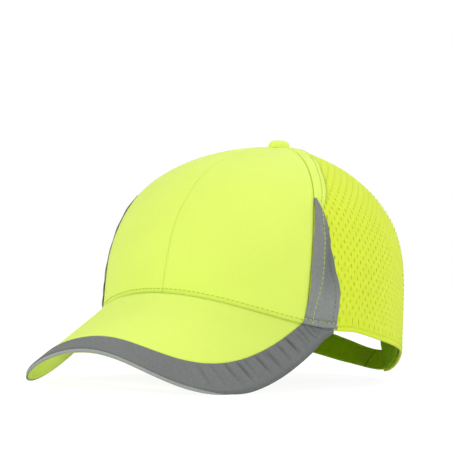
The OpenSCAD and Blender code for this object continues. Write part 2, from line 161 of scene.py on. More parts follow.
def seen_directly(tree):
    rays = tree.nodes.new("ShaderNodeLightPath").outputs
    glossy = maths(tree, "MAXIMUM", rays["Is Camera Ray"], rays["Is Glossy Ray"])
    return maths(tree, "MAXIMUM", glossy, rays["Is Transmission Ray"])


def make_world():
    world = bpy.data.worlds.new("soft_room")
    tree = cleared_tree(world)
    grey = add_node(tree, "ShaderNodeBackground", {"Color": (0.98, 0.99, 1.0, 1.0), "Strength": WORLD_LIGHT})
    white = add_node(tree, "ShaderNodeBackground", {"Color": WHITE})
    mixed = add_node(tree, "ShaderNodeMixShader", {0: seen_directly(tree), 1: grey, 2: white})
    add_node(tree, "ShaderNodeOutputWorld", {"Surface": mixed})
    bpy.context.scene.world = world


def make_floor():
    mesh = bpy.data.meshes.new("floor")
    reach, level = FLOOR_HALF_SIZE, cad_box[0][2] - FLOOR_GAP
    corners = ((-reach, -reach), (reach, -reach), (reach, reach), (-reach, reach))
    mesh.from_pydata([(x, y, level) for x, y in corners], [], [(0, 1, 2, 3)])
    floor = bpy.data.objects.new("floor", mesh)
    bpy.context.scene.collection.objects.link(floor)
    material = bpy.data.materials.new("pale_floor")
    tree = cleared_tree(material)
    matt = add_node(tree, "ShaderNodeBsdfDiffuse", {"Color": FLOOR_COLOUR})
    glow = add_node(tree, "ShaderNodeEmission", {"Color": WHITE, "Strength": GLOW_STRENGTH})
    share = maths(tree, "MULTIPLY", seen_directly(tree), GLOW_SHARE)
    mixed = add_node(tree, "ShaderNodeMixShader", {0: share, 1: matt, 2: glow})
    add_node(tree, "ShaderNodeOutputMaterial", {"Surface": mixed})
    mesh.materials.append(material)


def make_lamp(name, place, size, power, target=(0.0, 0.0, 0.07), spread=180.0):
    lamp = bpy.data.lights.new(name, "AREA")
    lamp.size, lamp.energy, lamp.spread = size, power, np.radians(spread)
    lamp_object = bpy.data.objects.new(name, lamp)
    lamp_object.location = place
    aim = Vector(target) - Vector(place)
    lamp_object.rotation_euler = aim.to_track_quat("-Z", "Y").to_euler()
    bpy.context.scene.collection.objects.link(lamp_object)


make_world()
make_floor()
make_lamp("key_lamp", (-0.8, -1.5, 1.5), 1.3, 18.6)
make_lamp("fill_lamp", (2.0, -0.2, 1.0), 1.4, 11.0)
make_lamp("back_lamp", (0.5, 1.6, 1.8), 1.2, 14.0)
make_lamp("low_lamp", (0.9, -1.3, 0.25), 0.5, 2.0)
make_lamp("under_brim_lamp", (0.03, -0.11, 0.012), 0.02, 0.008, (-0.09, -0.115, 0.03), 80.0)
print("lamps:", len(bpy.data.lights))

# %% [markdown]
# Cloth is never one flat colour or one flat surface. Two shader groups give the structure of
# the fabrics: a twill of diagonal ribs, and a knit of small loops. Both are sums of sines of
# the place on the cloth, so their threads stay sharp from close by, as a picture would not.


# %% Shader groups: twill and knit
def start_weave(name, count_label, count):
    """A group that turns a place on cloth into a height, with the phase of its threads."""
    group, inputs, result = new_group(
        name, "ShaderNodeTree",
        [("Place", "Vector", None), (count_label, "Float", count)],
        [("Height", "Float")],
    )
    place = add_node(group, "ShaderNodeSeparateXYZ", {0: inputs["Place"]}).outputs
    turns = maths(group, "MULTIPLY", inputs[count_label], np.pi)
    across, along = (maths(group, "MULTIPLY", place[axis], turns) for axis in "XY")
    return group, result, across, along


def make_twill_group():
    group, result, across, along = start_weave("twill_weave", "Threads per Metre", 1600.0)
    rib = maths(group, "ABSOLUTE", maths(group, "SINE", maths(group, "ADD", across, along)))
    step = maths(group, "SINE", maths(group, "SUBTRACT", maths(group, "MULTIPLY", across, 2.0), along))
    fill(group, result, {"Height": maths(group, "MULTIPLY_ADD", step, 0.2, rib)})
    return group


def make_knit_group():
    group, result, across, along = start_weave("knit_loops", "Loops per Metre", 1300.0)
    sway = maths(group, "MULTIPLY", maths(group, "SINE", maths(group, "MULTIPLY", along, 2.0)), 0.6)
    wale = maths(group, "ABSOLUTE", maths(group, "SINE", maths(group, "ADD", across, sway)))
    course = maths(group, "ABSOLUTE", maths(group, "SINE", along))
    fill(group, result, {"Height": maths(group, "MULTIPLY_ADD", course, 0.5, wale)})
    return group


TWILL, KNIT = make_twill_group(), make_knit_group()
print("weaves:", TWILL.name, KNIT.name)

# %% [markdown]
# Dyed cloth drifts a little in tone and shows single fibres as flecks. Shade is painted into
# it too: the tone group mixes in a shade colour by a painted shade attribute that the mesh
# code writes, for shade in creases, seams and grooves and where the lamps light a side too
# brightly. The grain group gives moulded plastic its fine pits and faint scuffs.


# %% Shader groups: cloth tone with painted shade, and moulded grain
def make_tone_group():
    group, inputs, result = new_group(
        "cloth_tone", "ShaderNodeTree",
        [("Color", "Color", (0.8, 0.8, 0.8, 1.0)), ("Shade", "Color", (0.4, 0.4, 0.4, 1.0)),
         ("Crease", "Float", 0.0), ("Patchiness", "Float", 0.1), ("Grain", "Float", 0.05)],
        [("Color", "Color"), ("Roughness", "Float")],
    )
    spot = group.nodes.new("ShaderNodeTexCoord").outputs["Object"]
    drift = add_node(group, "ShaderNodeTexNoise", {"Vector": spot, "Scale": 22.0, "Detail": 2.0}).outputs[0]
    fleck = add_node(group, "ShaderNodeTexNoise", {"Vector": spot, "Scale": 900.0, "Detail": 3.0}).outputs[0]
    patches = maths(group, "MULTIPLY", maths(group, "SUBTRACT", drift, 0.5), inputs["Patchiness"])
    grains = maths(group, "MULTIPLY", maths(group, "SUBTRACT", fleck, 0.5), inputs["Grain"])
    level = maths(group, "ADD", maths(group, "ADD", patches, grains), 1.0)
    toned = add_node(group, "ShaderNodeVectorMath", {0: inputs["Color"], 1: level}, operation="MULTIPLY")
    colour_a, colour_b, mixed_colour = 6, 7, 2
    # Painted shade: the toned colour is mixed toward the shade colour by the painted shade amount.
    blend = {0: inputs["Crease"], colour_a: toned, colour_b: inputs["Shade"]}
    with_painted_shade = add_node(group, "ShaderNodeMix", blend, data_type="RGBA")
    roughness = maths(group, "MULTIPLY_ADD", patches, 0.5, 0.82)
    fill(group, result, {"Color": with_painted_shade.outputs[mixed_colour], "Roughness": roughness})
    return group


def make_grain_group():
    group, inputs, result = new_group(
        "moulded_grain", "ShaderNodeTree",
        [("Size", "Float", 0.0006)],
        [("Height", "Float"), ("Scuffs", "Float")],
    )
    spot = group.nodes.new("ShaderNodeTexCoord").outputs["Object"]
    scale = maths(group, "DIVIDE", 1.0, inputs["Size"])
    pits = add_node(group, "ShaderNodeTexVoronoi", {"Vector": spot, "Scale": scale}).outputs["Distance"]
    haze = add_node(group, "ShaderNodeTexNoise", {"Vector": spot, "Scale": 60.0, "Detail": 6.0})
    fill(group, result, {"Height": pits, "Scuffs": haze})
    return group


TONE, GRAIN = make_tone_group(), make_grain_group()
print("tone and grain:", TONE.name, GRAIN.name)

# %% [markdown]
# One recipe serves all the fabrics: the tone group feeds the colour, with its painted shade,
# and the roughness, the weave feeds a bump, and a sheen lifts the edges as brushed fibres do.
# The weave reads the piece's own UV map, which is in metres, so that its threads keep their
# real size.


# %% Fabric materials
def start_material(name):
    material = bpy.data.materials.new(name)
    tree = cleared_tree(material)
    shader = tree.nodes.new("ShaderNodeBsdfPrincipled")
    add_node(tree, "ShaderNodeOutputMaterial", {"Surface": shader})
    return material, tree, shader


def bump_into(tree, shader, height, distance):
    bump = add_node(tree, "ShaderNodeBump", {"Height": height, "Distance": distance, "Strength": 1.0})
    fill(tree, shader, {"Normal": bump})


def make_fabric(name, colour, shade, weave=None, threads=1600.0, depth=0.0001, patchiness=0.08,
                grain=0.06, sheen=0.15, specular=0.25):
    material, tree, shader = start_material(name)
    # Painted shade: this attribute, written by the mesh code, darkens the colour toward the shade colour.
    crease = add_node(tree, "ShaderNodeAttribute", attribute_name="crease").outputs["Fac"]
    tone_inputs = {"Color": (*colour, 1.0), "Shade": (*shade, 1.0), "Crease": crease,
                   "Patchiness": patchiness, "Grain": grain}
    tone = add_node(tree, "ShaderNodeGroup", tone_inputs, node_tree=TONE).outputs
    fill(tree, shader, {"Base Color": tone["Color"], "Roughness": tone["Roughness"], "Sheen Weight": sheen,
                        "Sheen Roughness": 0.5, "Specular IOR Level": specular})
    if weave is not None:
        place = add_node(tree, "ShaderNodeUVMap", uv_map="cloth")
        woven = add_node(tree, "ShaderNodeGroup", {0: place, 1: threads}, node_tree=weave)
        bump_into(tree, shader, woven, depth)
    return material


# Each cloth's second colour is painted shade, mixed in where the painted shade attribute is high.
YELLOW, YELLOW_PAINTED_SHADE, MESH_YELLOW = (0.80, 0.975, 0.145), (0.52, 0.70, 0.03), (0.80, 0.94, 0.035)
GREY, GREY_PAINTED_SHADE = (0.262, 0.278, 0.268), (0.09, 0.10, 0.09)
STRAP_SHADOWED_OLIVE, OLIVE_PAINTED_SHADE = (0.33, 0.56, 0.004), (0.12, 0.24, 0.0)

front_twill = make_fabric("front_twill", YELLOW, YELLOW_PAINTED_SHADE, TWILL, 1500.0, 0.00008)
air_mesh = make_fabric("air_mesh", MESH_YELLOW, YELLOW_PAINTED_SHADE, KNIT, 1400.0, 0.00012, grain=0.12)
mesh_backing = make_fabric("mesh_backing", (0.82, 0.95, 0.045), YELLOW_PAINTED_SHADE, KNIT, 2400.0, 0.00005)
seam_tape = make_fabric("seam_tape", (0.62, 0.78, 0.07), OLIVE_PAINTED_SHADE, TWILL, 1100.0, 0.0001)
reflective_cloth = make_fabric("reflective_cloth", GREY, GREY_PAINTED_SHADE, TWILL, 2600.0, 0.00003,
                               patchiness=0.22, grain=0.5, sheen=0.0, specular=0.4)
brim_trim_cloth = make_fabric("brim_trim_cloth", (0.177, 0.186, 0.182), (0.05, 0.055, 0.05), TWILL, 2600.0,
                              0.00003, patchiness=0.25, grain=0.5, sheen=0.0, specular=0.3)
# Painted highlight: the fold is the band's grey cloth, coloured about twice as light as a highlight on its
# rolled edge.
reflective_edge = make_fabric("reflective_edge", (0.35, 0.365, 0.35), GREY_PAINTED_SHADE, TWILL, 2600.0, 0.00003,
                              patchiness=0.15, grain=0.3, sheen=0.1, specular=0.4)
# Painted shade: the sweatband's dark olive stands in for the shade inside the cap.
sweatband_cloth = make_fabric("sweatband_cloth", (0.32, 0.60, 0.006), OLIVE_PAINTED_SHADE, KNIT, 900.0, 0.0002,
                              sheen=0.0, specular=0.05)
# Painted shade: the strap and the tab are yellow-green webbing, coloured dark olive for the shade inside the
# cap.
strap_webbing = make_fabric("strap_webbing", STRAP_SHADOWED_OLIVE, OLIVE_PAINTED_SHADE, TWILL, 900.0, 0.00015, grain=0.1,
                            sheen=0.0, specular=0.05)
yellow_thread = make_fabric("yellow_thread", (0.74, 0.88, 0.06), YELLOW_PAINTED_SHADE, grain=0.3)
dull_thread = make_fabric("dull_thread", (0.52, 0.66, 0.05), YELLOW_PAINTED_SHADE, grain=0.3)
grey_thread = make_fabric("grey_thread", (0.16, 0.17, 0.16), GREY_PAINTED_SHADE, grain=0.3)
# Painted shade: the loops are dark olive like the strap, for the shade inside the cap.
loop_pile = make_fabric("loop_pile", (0.30, 0.52, 0.006), OLIVE_PAINTED_SHADE, grain=0.8, sheen=0.4)
pad_foam = make_fabric("pad_foam", (0.045, 0.05, 0.055), (0.01, 0.01, 0.01), grain=0.9, sheen=0.3)
print("fabrics:", len(bpy.data.materials) - 1)

# %% [markdown]
# The shell, the brim's board, the hooks and the washer are moulded or pressed, so they share a
# second recipe: the grain group feeds a bump, and its scuffs vary the tone and the gloss.


# %% Plastic and metal materials
def make_plastic(name, colour, roughness, grain_size, depth, specular=0.5, metallic=0.0):
    material, tree, shader = start_material(name)
    grain = add_node(tree, "ShaderNodeGroup", {"Size": grain_size}, node_tree=GRAIN).outputs
    tone = maths(tree, "MULTIPLY_ADD", grain["Scuffs"], 0.2, 0.9)
    shade = add_node(tree, "ShaderNodeVectorMath", {0: colour, 1: tone}, operation="MULTIPLY")
    gloss = maths(tree, "MULTIPLY_ADD", grain["Scuffs"], 0.25, roughness - 0.12)
    fill(tree, shader, {"Base Color": shade, "Roughness": gloss, "Specular IOR Level": specular,
                        "Metallic": metallic})
    bump_into(tree, shader, grain["Height"], depth)
    return material


shell_plastic = make_plastic("shell_plastic", (0.62, 0.66, 0.30), 0.45, 0.0008, 0.00004)
brim_plastic = make_plastic("brim_plastic", (0.8, 0.8, 0.78), 0.5, 0.0006, 0.00002)
# Painted shade: the hooks are dark olive like the strap, for the shade inside the cap.
hook_plastic = make_plastic("hook_plastic", (0.30, 0.50, 0.004), 0.6, 0.0006, 0.0003, specular=0.05)
washer_metal = make_plastic("washer_metal", (0.62, 0.62, 0.62), 0.35, 0.0004, 0.00001, metallic=1.0)
print("materials:", len(bpy.data.materials))

# %% [markdown]
# The crown is one smooth form, and every layer follows it. A profile curve that is flatter
# than an ellipse is swept round an oval, and leans back as it rises. Azimuths are degrees
# from the front, positive toward the wearer's left. A depth is measured inward.

# %% The crown's surface
HALF_WIDTH, HALF_LENGTH = 0.0915, 0.098
EQUATOR_Z, DOME_HEIGHT = 0.033, 0.1135
DOME_LEAN, DOME_HOLLOW = 0.024, 0.0059
SIDE_POWER, SIDE_POWER_SWING = 1.67, 0.66
TOP_POWER, TOP_POWER_SWING = 3.56, 0.48
FRONT_SEAM, REAR_SEAM = 55.7, 120.0
CROWN_TOP_Z = EQUATOR_Z + DOME_HEIGHT


def side_power(azimuth):
    return SIDE_POWER + SIDE_POWER_SWING * np.cos(np.radians(azimuth))


def top_power(azimuth):
    return TOP_POWER + TOP_POWER_SWING * np.cos(np.radians(azimuth))


def crown_point(azimuth, rise, depth=0.0):
    azimuth, rise, depth = np.broadcast_arrays(azimuth, rise, depth)
    radius = np.maximum(0, 1 - np.abs(rise) ** top_power(azimuth)) ** (1 / side_power(azimuth))
    lean = DOME_LEAN * rise - 4 * DOME_HOLLOW * rise * (1 - rise)
    turn = np.radians(azimuth)
    return np.stack([
        (HALF_WIDTH - depth) * radius * np.sin(turn),
        lean - (HALF_LENGTH - depth) * radius * np.cos(turn),
        EQUATOR_Z + (DOME_HEIGHT - depth) * rise,
    ], axis=-1)


def crown_at(azimuth, z, depth=0.0):
    return crown_point(azimuth, (np.asarray(z) - EQUATOR_Z) / (DOME_HEIGHT - np.asarray(depth)), depth)


def stop_rise(azimuth, radius):
    return (1 - (radius / HALF_WIDTH) ** side_power(azimuth)) ** (1 / top_power(azimuth))


def climb(azimuth, low_z, step, stop_radius, depth=0.0):
    """The rise at a step from a low edge (0) to a circle round the button (1)."""
    power = side_power(azimuth)
    first = (1 - (np.asarray(low_z) - EQUATOR_Z) / (DOME_HEIGHT - depth)) ** (1 / power)
    last = (1 - stop_rise(azimuth, stop_radius)) ** (1 / power)
    return 1 - (first + (last - first) * step) ** power


def ease(value):
    held = np.clip(value, 0.0, 1.0)
    return held * held * (3 - 2 * held)


def mix(first, last, share):
    return first + (last - first) * share


def bell(distance, width):
    return np.exp(-((distance / width) ** 2))


def ridges(distance, *shapes):
    """Soft ridges across a distance, each with a height, a place and a width."""
    return sum(height * bell(distance - place, width) for height, place, width in shapes)


print("crown's top:", CROWN_TOP_Z)

# %% [markdown]
# The brim slopes away from the crown and is arched from side to side. Where its surface meets
# the crown it gives the seam line, which the front panels follow. Behind the brim's ends the
# rim falls to the rear corners, and an arch is cut out over the strap.

# %% The brim's surface and the rim
BRIM_ROOT_Z, BRIM_SLOPE = 0.0544, np.tan(np.radians(23.75))
BRIM_ARCH_RADIUS, BRIM_END_DROOP, BRIM_ARCH_GROWTH = 0.0915, 0.0036, 4.2
BRIM_HALF_WIDTH, BRIM_REACH, BRIM_CENTRE_Y, BRIM_POWER = 0.0832, 0.1867, 0.01915, 3.41
BRIM_END, SEAM_TUCK = 65.6, 0.003
RIM_AZIMUTHS = (66, 76, 90, 110, 122, 131, 140, 148, 155, 165, 180)
RIM_HEIGHTS = (0.036, 0.0353, 0.0302, 0.024, 0.0202, 0.016, 0.0134, 0.0106, 0.0084, 0.0081, 0.009)
REAR_SKEW, SKEW_START, REAR_CLIMB, CLIMB_START, CLIMB_END, REAR_BLEND = 0.0045, 125, 0.004, 176, 235, 22
REAR_RIM_Z, ARCH_ANGLE, ARCH_HEIGHT = 0.009, 32.0, 0.055


def brim_z(x, y):
    ahead = -y - HALF_LENGTH
    across = np.minimum(np.abs(x), BRIM_HALF_WIDTH)
    sag = BRIM_ARCH_RADIUS - np.sqrt(BRIM_ARCH_RADIUS**2 - across**2)
    droop = BRIM_END_DROOP * (across / BRIM_HALF_WIDTH) ** 4
    return BRIM_ROOT_Z - BRIM_SLOPE * ahead - (sag + droop) * (1 + BRIM_ARCH_GROWTH * ahead)


def seam_z(azimuth):
    """The height at which the brim meets the crown, found in a few rounds."""
    z = np.full(np.shape(azimuth), 0.05)
    for _ in range(12):
        point = crown_at(azimuth, z)
        z = brim_z(point[..., 0], point[..., 1])
    return z


def rim_z(azimuth):
    """The height of the rim. Its rear is skewed, and it climbs under the strap's sewn end."""
    round_turn = np.mod(azimuth, 360)
    turn = np.minimum(round_turn, 360 - round_turn)
    level = sum(np.interp(turn + shift, RIM_AZIMUTHS, RIM_HEIGHTS) for shift in (-2, 0, 2)) / 3
    skew = 2 * REAR_SKEW * np.sin(np.radians(azimuth)) * ease((turn - SKEW_START) / REAR_BLEND)
    climbing = ease((round_turn - CLIMB_START) / REAR_BLEND) * ease((CLIMB_END - round_turn) / REAR_BLEND)
    return level - skew + REAR_CLIMB * climbing


def panel_low_z(azimuth):
    turn = np.abs(azimuth)
    front = seam_z(np.sign(azimuth) * np.minimum(turn, BRIM_END)) - SEAM_TUCK
    return mix(front, rim_z(azimuth), ease((turn - BRIM_END + 6) / 9))


def arch_z(azimuth, half_angle=ARCH_ANGLE, height=ARCH_HEIGHT):
    turn = np.clip((180 - np.abs(azimuth)) / half_angle, 0.0, 1.0)
    return np.where(turn < 1, REAR_RIM_Z + height * np.sqrt(1 - turn**2), -1.0)


print("brim seam at the front:", round(float(seam_z(0.0)), 4))

# %% [markdown]
# Nearly every layer is a closed wall: an outer table of points, an inner one, and a strip
# round the edges. The helper below builds it, lays a UV map in metres along the cloth, and
# writes the painted shade attribute, shade painted into creases and seams. Open cells leave
# real holes with real walls.


# %% Mesh helpers
def link(name, mesh):
    piece = bpy.data.objects.new(name, mesh)
    bpy.context.scene.collection.objects.link(piece)
    return piece


def running_length(points, axis=0):
    """Distances along one axis of a table of points, from its first row."""
    steps = np.linalg.norm(np.diff(points, axis=axis), axis=-1).cumsum(axis=axis)
    return np.concatenate([np.zeros_like(np.take(steps, [0], axis=axis)), steps], axis=axis)


def cloth_lengths(table):
    """Distances along the columns and the rows of a table of points, in metres."""
    across, along = running_length(table, 0), running_length(table, 1)
    across -= across[len(across) // 2]
    along -= along[:, -1:] - along[:, -1:].mean()
    return np.stack([across, along], axis=-1)


def lay_cloth(mesh, flat):
    """Stores the flat place of each vertex as the UV map named cloth."""
    corners = np.zeros(len(mesh.loops), int)
    mesh.loops.foreach_get("vertex_index", corners)
    layer = mesh.uv_layers.new(name="cloth")
    layer.data.foreach_set("uv", flat[corners].astype(np.float32).ravel())


# Stores the painted shade amount of each point, which darkens its cloth.
def write_painted_shade(mesh, values):
    layer = mesh.attributes.new("crease", "FLOAT", "POINT")
    layer.data.foreach_set("value", np.clip(values, 0, 1).astype(np.float32))


def clean_faces(mesh):
    """Drops points without faces and turns every face outward."""
    work = bmesh.new()
    work.from_mesh(mesh)
    bmesh.ops.delete(work, geom=[v for v in work.verts if not v.link_faces], context="VERTS")
    bmesh.ops.recalc_face_normals(work, faces=work.faces)
    work.to_mesh(mesh)
    work.free()


def wall(name, outer, inner, ring=False, vent=None, crease=None):
    columns, rows = outer.shape[:2]
    cells = columns if ring else columns - 1
    filled = np.ones((cells, rows - 1), bool) if vent is None else ~vent
    faces = []

    def has(i, j):
        if not 0 <= j < rows - 1:
            return False
        return bool(filled[i % cells, j]) if ring else 0 <= i < cells and bool(filled[i, j])

    def front(i, j):
        return (i % columns) * rows + j

    def back(i, j):
        return columns * rows + front(i, j)

    for i, j in np.argwhere(filled).tolist():
        k, m = i + 1, j + 1
        faces.append((front(i, j), front(k, j), front(k, m), front(i, m)))
        faces.append((back(i, j), back(i, m), back(k, m), back(k, j)))
        if not has(i - 1, j):
            faces.append((front(i, j), front(i, m), back(i, m), back(i, j)))
        if not has(k, j):
            faces.append((front(k, j), back(k, j), back(k, m), front(k, m)))
        if not has(i, j - 1):
            faces.append((front(i, j), back(i, j), back(k, j), front(k, j)))
        if not has(i, m):
            faces.append((front(i, m), front(k, m), back(k, m), back(i, m)))
    mesh = bpy.data.meshes.new(name)
    points = np.concatenate([outer.reshape(-1, 3), inner.reshape(-1, 3)])
    mesh.from_pydata(points.tolist(), [], faces)
    lay_cloth(mesh, np.tile(cloth_lengths(outer).reshape(-1, 2), (2, 1)))
    if crease is not None:
        write_painted_shade(mesh, np.tile(np.broadcast_to(crease, (columns, rows)).ravel(), 2))
    clean_faces(mesh)
    return link(name, mesh)

# %% [markdown]
# A piece with modifiers is first made plain. Then it is finished in the same steps each
# time: it gets its material and the body it rides on, and the frame's nodes that it replaces
# are hidden. One function does these steps, so that no piece misses one.


# %% Finishing helpers
def flatten_modifiers(piece):
    """Turns a piece with modifiers into a plain mesh."""
    seen = bpy.context.evaluated_depsgraph_get()
    mesh = bpy.data.meshes.new_from_object(piece.evaluated_get(seen))
    piece.modifiers.clear()
    piece.data = mesh
    return piece


def smooth(piece, levels):
    modifier = piece.modifiers.new("smooth", "SUBSURF")
    modifier.levels = modifier.render_levels = levels
    return flatten_modifiers(piece)


def dress(piece, material, body="cap", stands_for=(), area=None):
    """Gives a finished piece its material, its body, and what it stands for."""
    faces = piece.data.polygons
    piece.data.materials.clear()
    piece.data.materials.append(material)
    faces.foreach_set("material_index", np.zeros(len(faces), int))
    piece.data.shade_smooth()
    if body:
        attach(piece, body)
    if stands_for:
        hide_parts(*stands_for)
    print(piece.name, "triangles:", sum(len(face.vertices) - 2 for face in faces))
    return piece


def cloth_area(table):
    """The area of a table of points, in square metres."""
    one = np.cross(table[1:, :-1] - table[:-1, :-1], table[:-1, 1:] - table[:-1, :-1])
    two = np.cross(table[1:, 1:] - table[1:, :-1], table[1:, 1:] - table[:-1, 1:])
    return float((np.linalg.norm(one, axis=2) + np.linalg.norm(two, axis=2)).sum() / 2)


def cut_share(area, width, length):
    """The share of a rectangle that its cloth covers, between the limits of a sheet."""
    return float(np.clip(area / (width * length), 0.31, 1.0))


def cut_size(table):
    """The width and length of the cut that a table of points needs, and its share of them."""
    width = float(running_length(table, 0)[-1].max())
    length = float(running_length(table, 1)[:, -1].max())
    return width, length, cut_share(cloth_area(table), width, length)

def crown_layer(name, surface, azimuth, place, depth, thickness, crease=None):
    """A closed cloth on the crown, from a depth inward, and the size of its flat cut."""
    outer = surface(azimuth, place, depth)
    return wall(name, outer, surface(azimuth, place, depth + thickness), crease=crease), cut_size(outer)

# %% [markdown]
# The two front panels are twill on a stiff backing, so they stand smooth and full. Each one
# rolls down into the seams: a hair-thin joint in the middle, a raised lip beside the mesh,
# and a slightly gathered line where the brim is sewn on. A fine grid carries those reliefs.

# %% Front panels
PANEL_THICKNESS, PANEL_STOP = 0.0011, 0.0025
SEAM_GAP_ANGLE = 0.045
BAND_START_Z = 0.104


def seam_distance(points, azimuth, seam):
    """How far each point lies from a seam of the crown, measured round it, in metres."""
    centre = np.zeros_like(points[..., :2])
    centre[..., 1] = DOME_LEAN * (points[..., 2] - EQUATOR_Z) / DOME_HEIGHT
    radius = np.linalg.norm(points[..., :2] - centre, axis=-1)
    return np.abs(np.radians(azimuth - seam)) * radius


def ripple(azimuth, z):
    """A slow unevenness of hand-sewn cloth, between -1 and 1."""
    turn = np.radians(azimuth)
    broad = np.sin(3.1 * turn + 61 * z) * np.cos(97 * z - 1.3)
    return (broad + 0.6 * np.sin(7.3 * turn - 35 * z + 0.8)) / 1.6


def crowded(first, last, count):
    """Steps that lie closer together near both ends."""
    share = np.linspace(0, 1, count)
    return mix(first, last, mix(share, ease(share), 0.7))


def front_panel_relief(azimuth, z, points):
    """Depths and painted shade of the front panels: the middle seam, the side lip, the brim's seam."""
    middle = seam_distance(points, azimuth, 0.0)
    side = seam_distance(points, azimuth, np.sign(azimuth) * FRONT_SEAM)
    above = z - seam_z(azimuth)
    pucker = 0.00012 * np.sin(azimuth * 1.9) * np.sin(azimuth * 0.73 + 1.0) * np.exp(-np.abs(above) / 0.007)
    lip = mix(0.00005, 0.0006, ease((z - BAND_START_Z) / 0.010))
    sunk = mix(0.0005, 0.0002, ease((z - BAND_START_Z) / 0.008))
    depth = ridges(middle, (0.0002, 0, 0.0009), (-0.00015, 0.0025, 0.0016))
    depth = depth + ridges(side, (sunk, 0, 0.0008), (-lip, 0.0020, 0.0016))
    depth = depth + ridges(above, (0.0008, 0, 0.0012), (-0.0002, 0.0035, 0.002))
    # Painted shade along the middle seam, the side seam and, darkest, the brim's seam.
    crease = 0.1 * bell(middle, 0.0005) + 0.05 * bell(side, 0.0006) + 0.6 * bell(above, 0.0008)
    return depth + pucker - 0.00035 * ripple(azimuth, z), crease


def make_front_panel(side, name):
    columns, rows = 64, 80
    azimuth = np.sort(side * crowded(SEAM_GAP_ANGLE, FRONT_SEAM - SEAM_GAP_ANGLE, columns))[:, None]
    steps = np.linspace(0, 1, rows)[None, :]
    rise = climb(azimuth, panel_low_z(azimuth), mix(steps, steps**1.6, 0.6), PANEL_STOP)
    plain = crown_point(azimuth, rise)
    depth, crease = front_panel_relief(azimuth, plain[..., 2], plain)
    cloth, node = f"front_cloth_{name}", f"front_panel_{name}"
    piece, area = crown_layer(cloth, crown_point, azimuth, rise, depth, PANEL_THICKNESS, crease)
    dress(piece, front_twill, stands_for=[node], area=area)


for side, name in SIDES:
    make_front_panel(side, name)

# %% [markdown]
# The side and rear panels are a warp-knit mesh with staggered slits. A flat lattice of
# six-sided cells is cut to the panel's outline, as cloth is cut from a roll. Geometry Nodes
# then open each whole cell: it is extruded in place, its top is scaled down and deleted.
# Last, the flat cloth is sewn onto the dome, so that every slit keeps its real size.


# %% Geometry Nodes: perforate a cloth of cells
def make_perforator():
    group, inputs, result = new_group(
        "perforate_cells", "GeometryNodeTree",
        [("Cloth", "Geometry", None), ("Slit Share", "Float", 0.36), ("Smoothing", "Int", 1),
         ("Material", "Material", None)],
        [("Cloth", "Geometry")],
    )
    is_open = add_node(group, "GeometryNodeInputNamedAttribute", {"Name": "open"}, data_type="BOOLEAN")
    raised = {"Mesh": inputs["Cloth"], "Selection": is_open, "Offset Scale": 0.0, "Individual": True}
    extruded = add_node(group, "GeometryNodeExtrudeMesh", raised, mode="FACES").outputs
    shrunk = {"Geometry": extruded["Mesh"], "Selection": extruded["Top"], "Scale": inputs["Slit Share"]}
    scaled = add_node(group, "GeometryNodeScaleElements", shrunk, domain="FACE")
    tops = {"Geometry": scaled, "Selection": extruded["Top"]}
    opened = add_node(group, "GeometryNodeDeleteGeometry", tops, domain="FACE")
    joined = add_node(group, "GeometryNodeMergeByDistance", {"Geometry": opened, "Distance": 1e-6})
    levels = {"Mesh": joined, "Level": inputs["Smoothing"]}
    rounded = add_node(group, "GeometryNodeSubdivisionSurface", levels)
    finish_group(group, rounded, inputs["Material"], result, "Cloth")
    return group


def finish_group(group, geometry, material, result, label):
    """Makes instances real, sets the material and fills the group's output."""
    real = add_node(group, "GeometryNodeRealizeInstances", {"Geometry": geometry})
    finished = add_node(group, "GeometryNodeSetMaterial", {"Geometry": real, "Material": material})
    fill(group, result, {label: finished})


def run_nodes(piece, group, **values):
    """Adds a Geometry Nodes modifier, sets its named inputs, and makes the result plain."""
    modifier = piece.modifiers.new(group.name, "NODES")
    modifier.node_group = group
    for item in group.interface.items_tree:
        key = item.name.replace(" ", "_").lower()
        if item.item_type == "SOCKET" and item.in_out == "INPUT" and key in values:
            modifier[item.identifier] = values[key]
    return flatten_modifiers(piece)


PERFORATE = make_perforator()
print("perforator nodes:", len(PERFORATE.nodes))

# %% [markdown]
# A dome can't be cut from flat cloth without a rule that links the two. The class below keeps
# that rule for one panel: a place along the panel's middle line, and a place beside it, give
# an azimuth and a rise on the crown, and the other way round.


# %% Flat cut of a mesh panel
class PanelCut:
    """Turns flat places on a panel's cloth into azimuths and rises on the crown."""

    def __init__(self, first, last, low):
        self.low = low
        self.steps = np.linspace(0, 1, 70)
        self.azimuths = np.linspace(first, last, 60)
        azimuth, step = np.meshgrid(self.azimuths, self.steps, indexing="ij")
        points = crown_point(azimuth, self.rise(azimuth, step))
        middle = len(self.azimuths) // 2
        across = running_length(points)
        self.across = across - across[middle]
        self.along = running_length(points[middle])
        self.length = self.along[-1]
        self.edges = (self.across[0], self.across[-1])

    def rise(self, azimuth, step):
        return climb(azimuth, self.low(azimuth), step, PANEL_STOP)

    def row(self, step):
        place = np.interp(step, self.steps, np.arange(len(self.steps)))
        below = np.minimum(place.astype(int), len(self.steps) - 2)
        return mix(self.across[:, below], self.across[:, below + 1], place - below)

    def to_crown(self, flat):
        step = np.interp(flat[:, 1], self.along, self.steps)
        rows = self.row(step)
        azimuth = np.array([np.interp(u, rows[:, i], self.azimuths) for i, u in enumerate(flat[:, 0])])
        return azimuth, self.rise(azimuth, step)

    def to_flat(self, azimuth, step):
        rows = self.row(step)
        u = np.array([np.interp(a, self.azimuths, rows[:, i]) for i, a in enumerate(azimuth)])
        return np.stack([u, np.interp(step, self.steps, self.along)], axis=-1)

    def step_of(self, azimuth, z):
        power = side_power(azimuth)
        first = (1 - (self.low(azimuth) - EQUATOR_Z) / DOME_HEIGHT) ** (1 / power)
        last = (1 - stop_rise(azimuth, PANEL_STOP)) ** (1 / power)
        here = np.maximum(0, 1 - (z - EQUATOR_Z) / DOME_HEIGHT) ** (1 / power)
        return np.clip((here - first) / (last - first), 0, 1)


